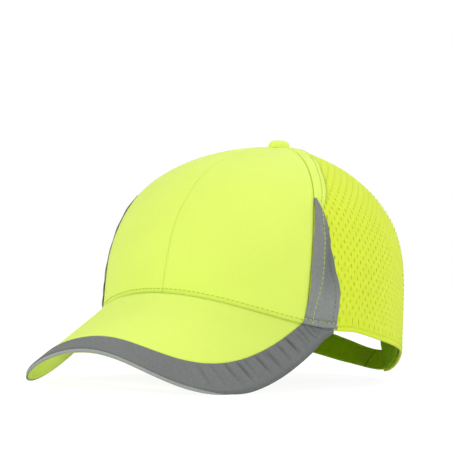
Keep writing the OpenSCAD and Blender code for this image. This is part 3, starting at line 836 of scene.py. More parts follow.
def panel_outline(cut, arch_edge):
    """The panel's edge in the flat cloth, and its corners."""
    steps = np.linspace(0, 1, 260)
    along = np.interp(steps, cut.steps, cut.along)
    edges = [np.stack([np.interp(steps, cut.steps, edge), along], axis=-1) for edge in cut.edges]
    azimuths = np.linspace(cut.azimuths[0], cut.azimuths[-1], 400)
    floor = cut.to_flat(azimuths, np.zeros(400))
    ceiling = cut.to_flat(azimuths[::20], np.ones(20))
    if arch_edge is None:
        return np.concatenate([*edges, floor, ceiling]), [edges[0][-1], edges[1][-1], floor[0], floor[-1]]
    azimuth, z = arch_edge
    kept = z > rim_z(azimuth)
    arch = cut.to_flat(azimuth[kept], cut.step_of(azimuth[kept], z[kept]))
    foot = arch[np.argmin(np.abs(azimuth[kept]))]
    floor = floor[rim_z(azimuths) > arch_z(azimuths)]
    beside_foot = floor[np.argmin(np.linalg.norm(floor - foot, axis=1))]
    outer_corner, arch_side = (floor[0], 1) if azimuth[0] > 0 else (floor[-1], 0)
    corners = [edges[0][-1], edges[1][-1], foot, beside_foot, outer_corner]
    for i, edge_azimuth in enumerate((cut.azimuths[0], cut.azimuths[-1])):
        edge_z = crown_point(edge_azimuth, cut.rise(edge_azimuth, steps))[:, 2]
        edges[i] = edges[i][edge_z >= arch_z(edge_azimuth)]
    return np.concatenate([*edges, floor, ceiling, arch]), [*corners, edges[arch_side][0]]

# %% [markdown]
# The lattice is made of six-sided cells in staggered columns, like the knit's own wales. Cells
# whose middle lies inside the panel are kept, and the points on the lattice's ragged edge then
# snap to the panel's outline.

# %% Lattice of cells
CELL_WIDTH, CELL_HEIGHT = 0.0026, 0.0068


def make_cells(cut, keep):
    """A lattice of six-sided cells, standing in columns that are staggered by half a cell."""
    half_columns = int(np.abs(cut.across).max() / CELL_WIDTH) + 2
    cell_rows = int(cut.length / CELL_HEIGHT) + 2
    work = bmesh.new()
    made = {}

    def corner(i, k):
        if (i, k) not in made:
            made[i, k] = work.verts.new(((i - 0.5) * CELL_WIDTH, k * CELL_HEIGHT / 2, 0.0))
        return made[i, k]

    for i in range(-half_columns, half_columns + 1):
        for row in range(-1, cell_rows):
            k = 2 * row + i % 2
            centre = np.array([[i * CELL_WIDTH, (k + 1) * CELL_HEIGHT / 2]])
            if keep(centre)[0]:
                ring = [(i, k), (i + 1, k), (i + 1, k + 1), (i + 1, k + 2), (i, k + 2), (i, k + 1)]
                work.faces.new([corner(*place) for place in ring])
    return work


def snap_outline(work, outline, corners):
    """Moves the lattice's edge onto the panel's edge, corners last."""
    loose = [v for v in work.verts if any(len(e.link_faces) < 2 for e in v.link_edges)]
    for vert in loose:
        gap = np.linalg.norm(outline - np.array(vert.co[:2]), axis=1)
        vert.co[:2] = outline[np.argmin(gap)]
    for place in corners:
        nearest = min(loose, key=lambda v: (v.co[0] - place[0]) ** 2 + (v.co[1] - place[1]) ** 2)
        nearest.co[:2] = place
        loose.remove(nearest)


print("cell:", CELL_WIDTH, "by", CELL_HEIGHT, "m")

# %% [markdown]
# A grey stripe lies over the mesh behind each front seam, and a folded band of cloth carries
# on above it to the button. Both outlines are short tables of heights and azimuths, with a
# point where the edge turns. They come before the mesh, which has to sink under them.

# %% Outlines of the stripe and the seam band
STRIPE_TIP_Z = 0.1145
STRIPE_HEIGHTS = (0.034, 0.040, 0.047, 0.054, 0.060, 0.066, 0.071, 0.077, 0.083, 0.090, 0.098, 0.104,
                  0.110, 0.1145)
STRIPE_REAR = (67.4, 67.8, 68.1, 68.6, 68.3, 67.0, 65.5, 65.3, 64.5, 63.0, 61.7, 60.1, 58.3, 56.0)
FRONT_HEIGHTS = (0.034, 0.040, 0.047, 0.053, 0.059, 0.114)
STRIPE_FRONT = (53.6, 53.8, 54.7, 55.5, 55.8, 55.7)
STITCH_HEIGHTS = (0.040, 0.048, 0.055, 0.062, 0.070, 0.089, 0.107)
STITCH_LINE = (57.2, 57.9, 59.0, 60.0, 60.4, 60.2, 59.0)
BAND_HEIGHTS = (0.100, 0.106, 0.110, 0.114, 0.119, 0.125, 0.131, 0.140, 0.1455)
BAND_REAR = (57.4, 59.0, 60.2, 61.3, 62.4, 63.1, 64.0, 69.0, 84.0)
CURVE_SPREAD = 0.003


def smooth_curve(heights, values, z):
    """A curve through a few heights, without corners."""
    return sum(np.interp(z + shift * CURVE_SPREAD, heights, values) for shift in (-1, -0.5, 0, 0.5, 1)) / 5


def band_edge(z):
    return np.interp(z, BAND_HEIGHTS, BAND_REAR)


def cover_edge(z):
    """The azimuth at which the stripe, or the seam band over it, ends on the mesh."""
    stripe = smooth_curve(STRIPE_HEIGHTS, STRIPE_REAR, z)
    return np.where(z < STRIPE_TIP_Z - 0.008, stripe, np.maximum(stripe, band_edge(z)))


print("stripe height:", round(STRIPE_TIP_Z - STRIPE_HEIGHTS[0], 4))

# %% [markdown]
# Each mesh panel is made from its cut, then bent onto the crown and given its thickness. The
# cloth is double, a slit face over a plain back, so the slits show yellow and not the shell.
# The back is a second, closed wall a hair's breadth behind the face.

# %% Side and rear mesh panels
FACE_THICKNESS, BACK_THICKNESS, BACK_GAP = 0.0004, 0.0003, 0.00005
SLIT_MARGIN, SLIT_SHARE, BACK_INSET = 0.0027, 0.31, 0.0006
SIDE = (FRONT_SEAM + SEAM_GAP_ANGLE, REAR_SEAM - SEAM_GAP_ANGLE)
REAR = (REAR_SEAM + SEAM_GAP_ANGLE, 180 - SEAM_GAP_ANGLE)


def mesh_relief(azimuth, z, points, seams):
    """Depths and painted shade of the mesh: its seams, and its dip under the stripe and the band. Shade is
    painted along the seams and in a groove beside the band.
    """
    depth = 0.0001 - 0.0004 * ripple(azimuth * 1.3, z)
    crease = np.zeros_like(depth)
    for seam in seams:
        gap = seam_distance(points, azimuth, seam)
        depth = depth + ridges(gap, (0.0006, 0, 0.0012), (-0.0003, 0.004, 0.002))
        crease = crease + 0.25 * bell(gap, 0.0006)
    beyond = np.abs(azimuth) - cover_edge(z)
    covered = 1 - ease(beyond / 1.2 + 1.0)
    groove = bell(beyond - 0.4, 0.9) * ease((z - BAND_START_Z - 0.002) / 0.01)
    return mix(depth, 0.0005, covered), crease + 0.75 * groove


def arch_azimuths(first_turn, last_turn, count):
    return 180 - ARCH_ANGLE * np.cos(np.radians(np.linspace(first_turn, last_turn, count)))


def make_mesh_face(name, cut, arch):
    """The slit face of a mesh panel, still flat, and the number of its slits."""
    arch_edge = None
    if arch:
        edge_azimuths = np.sign(cut.azimuths[0]) * arch_azimuths(0.5, 89.5, 400)
        arch_edge = (edge_azimuths, arch_z(edge_azimuths))

    def keep(centre):
        left, right = (np.interp(centre[:, 1], cut.along, edge) for edge in cut.edges)
        inside = (centre[:, 0] > left) & (centre[:, 0] < right)
        inside &= (centre[:, 1] > 0) & (centre[:, 1] < cut.length)
        if arch and inside[0]:
            azimuth, rise = cut.to_crown(centre)
            inside &= EQUATOR_Z + DOME_HEIGHT * rise > arch_z(azimuth)
        return inside

    outline, corners = panel_outline(cut, arch_edge)
    work = make_cells(cut, keep)
    snap_outline(work, outline, corners)
    centres = [np.mean([v.co[:2] for v in face.verts], axis=0) for face in work.faces]
    is_open = [np.linalg.norm(outline - centre, axis=1).min() > SLIT_MARGIN for centre in centres]
    mesh = bpy.data.meshes.new(name)
    work.to_mesh(mesh)
    work.free()
    mesh.attributes.new("open", "BOOLEAN", "FACE").data.foreach_set("value", is_open)
    print(name, "slits:", sum(is_open))
    return run_nodes(link(name, mesh), PERFORATE, slit_share=SLIT_SHARE, smoothing=1, material=air_mesh)


def sew_onto_crown(piece, cut, seams):
    mesh = piece.data
    flat = np.array([v.co[:2] for v in mesh.vertices])
    azimuth, rise = cut.to_crown(flat)
    plain = crown_point(azimuth, rise)
    depth, crease = mesh_relief(azimuth, plain[:, 2], plain, seams)
    points = crown_point(azimuth, rise, depth)
    mesh.vertices.foreach_set("co", points.astype(np.float32).ravel())
    while mesh.uv_layers:
        mesh.uv_layers.remove(mesh.uv_layers[0])
    lay_cloth(mesh, flat)
    write_painted_shade(mesh, crease)
    mesh.update()
    inside = Vector((0.0, 0.01, 0.05))
    if sum(face.normal.dot(face.center - inside) for face in mesh.polygons) < 0:
        mesh.flip_normals()
    thick = piece.modifiers.new("thickness", "SOLIDIFY")
    thick.thickness, thick.offset = FACE_THICKNESS, -1.0
    return flatten_modifiers(piece)


def make_mesh_backing(name, first, last, low, arch):
    """The closed back of the double cloth, which shows through the slits of its face."""
    azimuth = np.linspace(first, last, 44)
    low_z = low(azimuth)
    if arch:
        before_arch = np.linspace(min(abs(first), abs(last)), 180 - ARCH_ANGLE, 14)
        azimuth = np.concatenate([before_arch, arch_azimuths(4, 89.5, 34)])
        azimuth = azimuth if first > 0 else -azimuth[::-1]
        low_z = np.maximum(low(azimuth), arch_z(azimuth))
    azimuth, low_z = azimuth[:, None], low_z[:, None] + BACK_INSET
    rise = climb(azimuth, low_z, np.linspace(0, 1, 50)[None, :], PANEL_STOP)
    plain = crown_point(azimuth, rise)
    depth = mesh_relief(azimuth, plain[..., 2], plain, (first, last))[0] + FACE_THICKNESS + BACK_GAP
    piece, area = crown_layer(name, crown_point, azimuth, rise, depth, BACK_THICKNESS)
    dress(piece, mesh_backing, area=area)


def make_mesh_panel(place, side, name, span, low, arch=False):
    first, last = span if side > 0 else (-span[1], -span[0])
    cut = PanelCut(first, last, low)
    piece = sew_onto_crown(make_mesh_face(f"{place}_mesh_{name}", cut, arch), cut, (first, last))
    width, length = float(cut.edges[1].max() - cut.edges[0].min()), float(cut.length)
    share = cut_share(sum(face.area for face in piece.data.polygons) / 2, width, length)
    dress(piece, air_mesh, stands_for=[f"{place}_panel_{name}"], area=(width, length, share))
    make_mesh_backing(f"{place}_backing_{name}", first, last, low, arch)


for side, name in SIDES:
    make_mesh_panel("side", side, name, SIDE, panel_low_z)
for side, name in SIDES:
    make_mesh_panel("rear", side, name, REAR, rim_z, arch=True)

# %% [markdown]
# Long narrow pieces, such as hems, edge folds and piping, are one section carried along an
# edge. At each point of the edge the section stands on the surface's normal, so it can't
# twist. The ends are closed, and the section is smoothed by one subdivision.


# %% Sweep helper
def surface_normals(azimuth, z):
    step = 0.0005
    normal = crown_at(azimuth, z, -step) - crown_at(azimuth, z, step)
    return normal / np.linalg.norm(normal, axis=-1, keepdims=True)


def tube(name, rings, flat):
    """A closed form through a table of rings of points, with a flat place for each point."""
    count, around = rings.shape[:2]
    index = np.arange(count * around).reshape(count, around)
    following = np.roll(index, -1, axis=1)
    sides = np.stack([index[:-1], following[:-1], following[1:], index[1:]], axis=-1)
    faces = [*sides.reshape(-1, 4).tolist(), index[0, ::-1].tolist(), index[-1].tolist()]
    mesh = bpy.data.meshes.new(name)
    mesh.from_pydata(rings.reshape(-1, 3).tolist(), [], faces)
    lay_cloth(mesh, flat.reshape(-1, 2))
    clean_faces(mesh)
    return link(name, mesh)


def sweep(name, path, normals, section):
    """Carries a closed section of (sideways, outward) points along a path, with closed ends."""
    tangents = np.gradient(path, axis=0)
    tangents /= np.linalg.norm(tangents, axis=1, keepdims=True)
    sides = np.cross(normals, tangents)
    rings = path[:, None] + sides[:, None] * section[None, :, :1] + normals[:, None] * section[None, :, 1:]
    round_it = np.linalg.norm(np.diff(section, axis=0, append=section[:1]), axis=1).cumsum()
    flat = np.stack(np.broadcast_arrays(running_length(path)[:, None], round_it[None, :]), axis=-1)
    return smooth(tube(name, rings, flat), 1)


def oval(width, height, sideways, count, squareness):
    """A closed oval section. A squareness below one fills its corners."""
    turns = np.linspace(0, 2 * np.pi, count, endpoint=False)
    across, up = (np.sign(part) * np.abs(part) ** squareness for part in (np.cos(turns), np.sin(turns)))
    return np.stack([across * width / 2 + sideways, up * height / 2], axis=-1)

# %% [markdown]
# Stitches are small rounded grains of thread, repeated along every seam. A Geometry Nodes
# tree walks each line, drops a grain at every pitch, and turns it along the line. All lines
# of one thread and one body become a single mesh.


# %% Geometry Nodes: stitches along lines
def make_stitcher():
    group, inputs, result = new_group(
        "sew_stitches", "GeometryNodeTree",
        [("Lines", "Geometry", None), ("Pitch", "Float", 0.003), ("Stitch Length", "Float", 0.0024),
         ("Thread Radius", "Float", 0.00027), ("Material", "Material", None)],
        [("Stitches", "Geometry")],
    )
    line = add_node(group, "GeometryNodeMeshToCurve", {"Mesh": inputs["Lines"]})
    pitches = {"Curve": line, "Length": inputs["Pitch"]}
    even = add_node(group, "GeometryNodeResampleCurve", pitches, mode="LENGTH")
    grain = add_node(group, "GeometryNodeMeshUVSphere", {"Segments": 6, "Rings": 5, "Radius": 1.0})
    half_length = maths(group, "MULTIPLY", inputs["Stitch Length"], 0.5)
    radius = inputs["Thread Radius"]
    size = add_node(group, "ShaderNodeCombineXYZ", {0: radius, 1: radius, 2: half_length})
    shaped = add_node(group, "GeometryNodeTransform", {"Geometry": grain, "Scale": size})
    tangent = add_node(group, "GeometryNodeInputTangent")
    turned = add_node(group, "FunctionNodeAlignRotationToVector", {"Vector": tangent}, axis="Z")
    placing = {"Points": even, "Instance": shaped, "Rotation": turned}
    placed = add_node(group, "GeometryNodeInstanceOnPoints", placing)
    finish_group(group, placed, inputs["Material"], result, "Stitches")
    return group


SEW = make_stitcher()
sewn_lines = {}


def crown_line(azimuth, z, lift=0.0):
    azimuth, z = np.broadcast_arrays(azimuth, z)
    return crown_at(azimuth, z, -lift)


def sew(thread, body, *lines):
    """Remembers lines of stitches, which are sewn together at the end."""
    sewn_lines.setdefault((thread, body), []).extend(np.asarray(line) for line in lines)


print("stitcher nodes:", len(SEW.nodes))

# %% [markdown]
# Beside each front panel the seam allowance is folded onto the mesh and sewn flat. It shows
# as a raised band from the button down, and the grey stripe covers its lower part. The
# stripe itself is a leaf shape: pointed at the top, wavy along its free rear edge, and
# folded under where it meets the brim.

# %% Side stripes
STRIPE_THICKNESS, REAR_STITCH_INSET, FOOT_STITCH_RISE = 0.0004, 2.1, 0.0034
GREY_STITCH_TOP_Z = 0.098


def stripe_foot_z(azimuth):
    on_brim = seam_z(np.minimum(azimuth, BRIM_END)) + 0.0003
    return np.where(azimuth < BRIM_END + 1, on_brim, rim_z(azimuth) + 0.0002)


def stripe_relief(azimuth, z, share):
    """Depths and painted shade of the stripe: raised in front, folded at the foot, puckered. Shade is
    painted over its upper part, behind its raised front and in a line above the foot's lip.
    """
    raised = 0.00085 * (1 - ease((azimuth - 60.4) / 1.8)) * ease((z - 0.036) / 0.01 + 0.4)
    foot = z - stripe_foot_z(azimuth)
    lip = ridges(foot, (0.0007, 0.0012, 0.0013), (-0.0005, 0.0034, 0.0011))
    wrinkle = 0.00028 * np.sin(azimuth * 1.3 + 190 * z) * np.sin(320 * z + azimuth * 0.6)
    edge = 0.00035 * (1 - ease(share / 0.06)) + 0.00035 * (1 - ease((1 - share) / 0.06))
    dip = 0.0007 * bell(z - 0.082, 0.016) * bell(azimuth - 62.6, 2.4)
    behind = ease((azimuth - 59.8) / 1.6) * bell(z - 0.080, 0.022)
    crease = 0.22 * ease((z - 0.052) / 0.02) + 0.33 * behind + 0.4 * bell(foot - 0.0040, 0.0007)
    return -0.00045 - raised - lip - wrinkle + edge + dip, crease


def sew_stripe(thread, side, azimuth, z, share):
    lift = -stripe_relief(azimuth, z, share)[0]
    sew(thread, "cap", crown_line(side * azimuth, z, lift))


def make_stripe(side, name):
    rows, shares = np.linspace(0, 1, 90)[None, :], crowded(0, 1, 26)[:, None]
    foot = stripe_foot_z(mix(STRIPE_FRONT[0], STRIPE_REAR[0], shares))
    z = mix(foot, STRIPE_TIP_Z - 0.0005, rows)
    front = smooth_curve(FRONT_HEIGHTS, STRIPE_FRONT, z)
    rear = np.maximum(smooth_curve(STRIPE_HEIGHTS, STRIPE_REAR, z), front + 0.2)
    azimuth = mix(front, rear, shares)
    depth, crease = stripe_relief(azimuth, z, shares)
    cloth, node = f"stripe_{name}", f"side_stripe_{name}"
    piece, area = crown_layer(cloth, crown_at, side * azimuth, z, depth, STRIPE_THICKNESS, crease)
    dress(piece, reflective_cloth, stands_for=[node], area=area)
    heights = np.linspace(0.0405, 0.1065, 60)
    sew_stripe(dull_thread, side, smooth_curve(STITCH_HEIGHTS, STITCH_LINE, heights), heights, 0.4)
    foot_line = np.linspace(54.6, 66.3, 24)
    sew_stripe(dull_thread, side, foot_line, stripe_foot_z(foot_line) + FOOT_STITCH_RISE, 0.5)
    heights = heights[heights < GREY_STITCH_TOP_Z]
    rear_line = smooth_curve(STRIPE_HEIGHTS, STRIPE_REAR, heights) - REAR_STITCH_INSET
    sew_stripe(grey_thread, side, rear_line, heights, 0.8)

# %% [markdown]
# The seam bands are narrow rounded walls beside the front seams. They start under the stripes'
# tips, rise out of the mesh over a centimetre, and end under the button, with one stitch row.


# %% Seam bands
def make_seam_band(side, name):
    steps = np.linspace(0, 1, 60)[None, :]
    shares = np.linspace(0, 1, 16)[:, None]
    rise = climb(FRONT_SEAM, BAND_HEIGHTS[0], steps, 0.0055)
    z = EQUATOR_Z + DOME_HEIGHT * rise
    azimuth = mix(FRONT_SEAM + 0.25, band_edge(z), shares)
    rounded = np.sqrt(np.clip(1 - (2 * shares - 1) ** 4, 0.0, 1.0))
    crest = 0.0003 * bell(shares - 0.75, 0.12)
    raised = (0.0007 * rounded + crest + 0.0004) * ease((z - BAND_START_Z) / 0.010)
    outer = crown_point(side * azimuth, rise, 0.00025 - raised)
    inner = crown_point(side * azimuth, rise, 0.0003)
    dress(wall(f"seam_band_{name}", outer, inner), front_twill)
    heights = mix(0.1125, 0.1452, np.sin(np.linspace(0, np.pi / 2, 40)))
    line = mix(FRONT_SEAM, band_edge(heights), 0.62)
    sew(dull_thread, "cap", crown_line(side * line, heights, 0.0011))


for side, name in SIDES:
    make_stripe(side, name)
    make_seam_band(side, name)

# %% [markdown]
# The brim is a stiff board between two cloth covers. A wide grey band follows its edge on
# top, gathered a little where it bends toward the crown, and a fold of the same grey, painted
# lighter as a highlight, wraps the edge.
# Each layer uses the same columns, which run outward from the crown's seam.

# %% The brim's outline and columns
BOARD_THICKNESS, COVER_THICKNESS, COVER_GAP = 0.0016, 0.0005, 0.00012
BAND_FRONT, BAND_SIDE = 0.0144, 0.0081


def outline_radius(turn, side_inset=0.0, front_inset=0.0):
    side = (np.abs(np.sin(turn)) / (BRIM_HALF_WIDTH - side_inset)) ** BRIM_POWER
    front = (np.abs(np.cos(turn)) / (BRIM_REACH - front_inset)) ** BRIM_POWER
    return (side + front) ** (-1 / BRIM_POWER)


def brim_radii(azimuth, side_inset=0.0, front_inset=0.0):
    """Each column's turn round the brim's centre, and its radii at the crown and at the edge."""
    seam = crown_at(azimuth, seam_z(azimuth), -0.0003)
    turn = np.arctan2(seam[..., 0], BRIM_CENTRE_Y - seam[..., 1])
    first = np.hypot(seam[..., 0], BRIM_CENTRE_Y - seam[..., 1])
    last = np.maximum(outline_radius(turn, side_inset, front_inset), first + 0.0016 - side_inset)
    return turn, first, last


def brim_place(turn, radius, level):
    x = radius * np.sin(turn)
    y = BRIM_CENTRE_Y - radius * np.cos(turn)
    return np.stack([x, y, brim_z(x, y) + level], axis=-1)


def brim_end():
    """The azimuth at which the brim's outline runs into the crown."""
    azimuth = np.linspace(45, BRIM_END, 300)
    turn, first, _ = brim_radii(azimuth)
    return float(azimuth[outline_radius(turn) - first > 0.0012].max())


def brim_columns(count, last):
    return np.linspace(-last, last, count)[:, None]


BRIM_TIP = brim_end()
print("brim tip at", round(BRIM_TIP, 2), "degrees")

# %% [markdown]
# The covers are two cloths stretched over the board, sewn to the crown at one end and tucked
# under the grey band or round the fold at the other. Only the top one shows a relief: a line
# where it meets the crown, a faint ridge, and the sunk strip that the band lies in.


# %% Brim covers
def make_cover(name, level, node, inset, relief):
    azimuth = brim_columns(110, BRIM_TIP)
    inset = mix(inset, inset + 0.0012, ease((np.abs(azimuth) - 50) / 8))
    turn, first, last = brim_radii(azimuth, inset, inset)
    inner_edge = outline_radius(turn, BAND_SIDE, BAND_FRONT)
    radius = mix(first - 0.0003, np.maximum(last, first + 0.0004), np.linspace(0, 1, 60)[None, :])
    lift, crease = relief(radius - first, inner_edge - radius)
    outer = brim_place(turn, radius, level + COVER_THICKNESS + lift)
    inner = brim_place(turn, radius, level + lift * 0.3)
    piece = wall(name, outer, inner, crease=crease)
    dress(piece, front_twill, stands_for=[node], area=cut_size(outer))


def top_relief(from_crown, from_band):
    lift = ridges(from_crown, (-0.0002, 0, 0.0014), (0.0002, 0.004, 0.002))
    lift = lift + 0.00012 * bell(from_band - 0.0055, 0.0008) - 0.0004 * ease(-from_band / 0.0015)
    # Painted shade: dark lines along the crown's seam and the band's inner edge.
    return lift, 0.7 * bell(from_crown, 0.0007) + 0.6 * bell(from_band, 0.0006)


def under_relief(from_crown, from_band):
    # Painted shade along the crown's seam.
    return 0.0, 0.5 * bell(from_crown, 0.0012)


make_cover("brim_top_cloth", COVER_GAP, "brim_top_cover", 0.0008, top_relief)
make_cover("brim_under_cloth", -BOARD_THICKNESS - COVER_GAP - COVER_THICKNESS, "brim_under_cover", 0.0006,
           under_relief)

# %% [markdown]
# A straight strip of cloth can't lie flat round a bend, so the grey band gathers where the
# brim turns toward the crown. Its inner edge lies on the cover, and its outer edge is turned
# down over the fold, more on the wearer's left. The gathers are sums of slanting waves.

# %% Brim band
BAND_LEVEL, BAND_UNDERSIDE, DEEPEST_PUCKER, GATHER_HEIGHT = 0.0013, 0.0007, 0.0005, 0.0009
TURNED_EDGE_LEVEL, EDGE_THICKNESS = 0.00105, 0.0003


def band_gathers(azimuth, share):
    """Slanting, uneven gathers where the band bends, between -1 and 1."""
    slant = np.abs(azimuth) - 6.0 * share
    broad = np.sin(2.3 * slant + 1.5 * np.sin(0.37 * slant)) * (0.65 + 0.35 * np.sin(0.83 * slant + 1.0))
    return 0.68 * broad + 0.32 * np.sin(4.1 * slant + 2.4 * share + 2.0)


def band_bend(azimuth):
    """Where the band bends toward the crown and can't lie flat, from 0 to 1."""
    return mix(0.1, 1.0, ease((np.abs(azimuth) - 20) / 16)) * (1 - 0.6 * ease((np.abs(azimuth) - 56) / 8))


def brim_strip(name, turn, radii, levels, crease=None):
    """A folded strip along the brim's edge, from its outer and inner radii and levels."""
    outer, inner = (brim_place(turn, radius, level) for radius, level in zip(radii, levels))
    return wall(name, outer, inner, crease=crease), cut_size(outer)


def make_brim_band():
    azimuth = brim_columns(460, BRIM_END)
    turn, first, last = brim_radii(azimuth)
    inner_edge = brim_radii(azimuth, BAND_SIDE, BAND_FRONT)[2]
    start = np.minimum(np.maximum(first - 0.0002, inner_edge), last - 0.0006)
    share, down = np.linspace(0, 1, 22)[None, :], np.array([[0.35, 0.7, 1.0]])
    gathers, fading = band_gathers(azimuth, share), np.sin(share**0.6 * np.pi)
    pucker = np.maximum(GATHER_HEIGHT * band_bend(azimuth) * gathers * fading, -DEEPEST_PUCKER)
    edges_down = 0.0004 * (1 - ease(share / 0.08)) + 0.0002 * ease((share - 0.9) / 0.1)
    level = BAND_LEVEL + pucker - edges_down
    left, ends = ease((azimuth - 24) / 14), ease((np.abs(azimuth) - 57) / 5)
    over = mix(mix(0.0004, 0.0026, left), 0.0021, ends)
    beyond = mix(0.0001, 0.0008, np.maximum(left, ends))
    top, edge = mix(start, last, share), last + beyond * down**0.5
    radii = np.hstack([top, edge]), np.hstack([top, edge - EDGE_THICKNESS])
    flat_back = np.full(level.shape, BAND_UNDERSIDE)
    levels = (np.hstack([level, TURNED_EDGE_LEVEL - over * down]),
              np.hstack([flat_back, BAND_UNDERSIDE - over * down]))
    # Painted shade: darker in the troughs of the gathers, on the wearer's right where the key lamp lights
    # the band most, and over the turned-down edge.
    crease = 0.8 * band_bend(azimuth) * np.clip(-gathers, 0, 1) * fading + 0.2 * ease((-azimuth - 15) / 15)
    crease = np.hstack([crease, np.full(edge.shape, 0.2)])
    piece, area = brim_strip("brim_band", turn, radii, levels, crease)
    dress(piece, brim_trim_cloth, stands_for=["brim_reflective_band"], area=area)


make_brim_band()

# %% [markdown]
# The fold is a strip that wraps the board's edge as half a tube, a little proud of the covers.
# Its lighter grey is a painted highlight.
# The crown is sewn to the brim with one more row of stitches, just above the seam.

# %% Brim fold and seam stitches
FOLD_HALF_HEIGHT, FOLD_BULGE, FOLD_THICKNESS = 0.0013, 0.0010, 0.0004


def make_brim_fold():
    azimuth = brim_columns(180, BRIM_TIP - 1.0)
    turn = brim_radii(azimuth)[0]
    across = np.sin(np.radians([[-80, -50, -20, 10, 40, 65, 85]]))
    start, bulge = outline_radius(turn) - 0.0006, np.sqrt(1 - across**2)
    radii = start + FOLD_BULGE * bulge, start + (FOLD_BULGE - FOLD_THICKNESS) * bulge
    levels = -0.0006 - FOLD_HALF_HEIGHT * across, -0.0006 - (FOLD_HALF_HEIGHT - FOLD_THICKNESS) * across
    piece = brim_strip("brim_fold", turn, radii, levels)[0]
    dress(smooth(piece, 1), reflective_edge, stands_for=["brim_edge_binding"])


def sew_brim_seam():
    azimuth = np.linspace(-53, 53, 120)
    heights = seam_z(azimuth) + 0.0030
    sunk = front_panel_relief(azimuth, heights, crown_at(azimuth, heights))[0]
    sew(dull_thread, "cap", crown_line(azimuth, heights, 0.00008 - sunk))


make_brim_fold()
sew_brim_seam()

# %% [markdown]
# The button is a domed disc under a scrap of cloth. The cloth is drawn in underneath, so
# faint pleats run down its side. A revolved profile with a small ripple gives that form.

# %% Button
BUTTON_RADIUS, BUTTON_HEIGHT, BUTTON_WAIST, BUTTON_PLEATS = 0.00675, 0.005, 0.0010, 18


def make_button():
    turn = np.linspace(0, 2 * np.pi, 72, endpoint=False)[None, :]
    angle = np.radians(np.linspace(-28, 88, 22))[:, None]
    pleat = 0.00010 * bell(angle + 0.1, 0.5) * np.sin(BUTTON_PLEATS * turn)
    reach = BUTTON_RADIUS * np.cos(angle) ** 0.62 + pleat
    level = BUTTON_WAIST + np.where(angle > 0, BUTTON_HEIGHT - BUTTON_WAIST, 0.0022) * np.sin(angle)
    x, y, z = np.broadcast_arrays(reach * np.cos(turn), DOME_LEAN + reach * np.sin(turn),
                                  CROWN_TOP_Z + 0.0001 + level)
    piece = tube("button_cloth", np.stack([x, y, z], axis=-1), np.stack([x, y], axis=-1))
    dress(piece, front_twill, stands_for=["crown_button"])


make_button()

# %% [markdown]
# The free edges are finished with folded cloth: a narrow rolled hem along the rim, and a wider
# binding round the arch at the back. Both are swept along their edge, and rows of stitches
# hold them and the allowances of the rear seams.


# %% Hems, arch binding and topstitching
HEM_SECTION, HEM_FIRST, HEM_LAST = (0.0028, 0.0020, 0.0008, 10, 0.8), 66.2, 148.6
BINDING_SECTION = (0.0066, 0.0018, 0.0026, 12, 0.6)
HEM_STITCH_RISE, BINDING_STITCH_RISE, SEAM_STITCH_GAP = 0.0030, 0.0046, 0.0032


def make_hem(name, first, last):
    azimuth = np.linspace(first, last, 110)
    z = rim_z(azimuth)
    section = oval(*HEM_SECTION)
    piece = sweep(name, crown_at(azimuth, z, 0.0004), surface_normals(azimuth, z), section)
    dress(piece, air_mesh)
    sew(yellow_thread, "cap", crown_line(azimuth[2:-2], z[2:-2] + HEM_STITCH_RISE, 0.00045))


def arch_line(first, last, growth, count):
    """Azimuths and heights along the rear arch, from the left foot to the right one."""
    turn = np.radians(np.linspace(first, last, count))
    reach = np.degrees(growth / HALF_WIDTH)
    azimuth = 180 - (ARCH_ANGLE + reach) * np.cos(turn)
    return azimuth, REAR_RIM_Z + (ARCH_HEIGHT + growth) * np.sin(turn)


def make_arch_binding():
    azimuth, z = arch_line(2, 168, 0.0, 120)
    section = oval(*BINDING_SECTION)
    piece = sweep("arch_binding", crown_at(azimuth, z, 0.00045), surface_normals(azimuth, z), section)
    dress(piece, front_twill)
    sew(yellow_thread, "cap", crown_line(*arch_line(8, 162, BINDING_STITCH_RISE, 110), 0.0005))


def beside_seam(seam, z, gap):
    """The azimuth at a distance from a seam, measured round the crown."""
    points = crown_at(np.full(z.shape, float(seam)), z)
    centre_y = DOME_LEAN * (z - EQUATOR_Z) / DOME_HEIGHT
    return seam + np.degrees(gap / np.hypot(points[:, 0], points[:, 1] - centre_y))


make_hem("rim_hem_left", HEM_FIRST, HEM_LAST)
make_hem("rim_hem_right", -HEM_LAST, -HEM_FIRST)
make_arch_binding()
for seam, low_z in ((-REAR_SEAM, 0.026), (REAR_SEAM, 0.026), (180.0, 0.071)):
    heights = np.linspace(low_z, 0.1435, 90)
    for gap in (-SEAM_STITCH_GAP, SEAM_STITCH_GAP):
        sew(yellow_thread, "cap", crown_line(beside_seam(seam, heights, gap), heights, 0.0004))

# %% [markdown]
# Inside, every seam of the crown is covered with a tape of constant width, and a curved tape
# backs the arch. They are thin, slightly domed strips that lie between the panels and the shell.

# %% Seam tapes
TAPE_DEPTH, TAPE_THICKNESS, TAPE_DOME, TAPE_WIDTH = 0.00165, 0.00045, 0.00012, 0.012
TAPE_START, NARROWEST_SHEET = 0.003, 0.0101


def finish_tape(name, azimuth, z, across, node):
    thickness = TAPE_THICKNESS - TAPE_DOME * across**4
    piece, (width, length, share) = crown_layer(name, crown_at, azimuth, z, TAPE_DEPTH, thickness)
    area = (max(width, NARROWEST_SHEET), max(length, NARROWEST_SHEET), share)
    dress(piece, seam_tape, stands_for=[node], area=area)


def make_seam_tape(name, seam, low_z):
    steps = np.linspace(0, 1, 60)
    middle = crown_point(seam, climb(seam, low_z, steps, 0.015, TAPE_DEPTH), TAPE_DEPTH)
    spread = np.degrees(np.arctan(TAPE_WIDTH / 2 / np.hypot(middle[:, 0], middle[:, 1] - DOME_LEAN)))
    across = np.linspace(-1, 1, 9)[:, None]
    finish_tape(f"{name}_cloth", seam + across * spread, middle[None, :, 2], across, name)


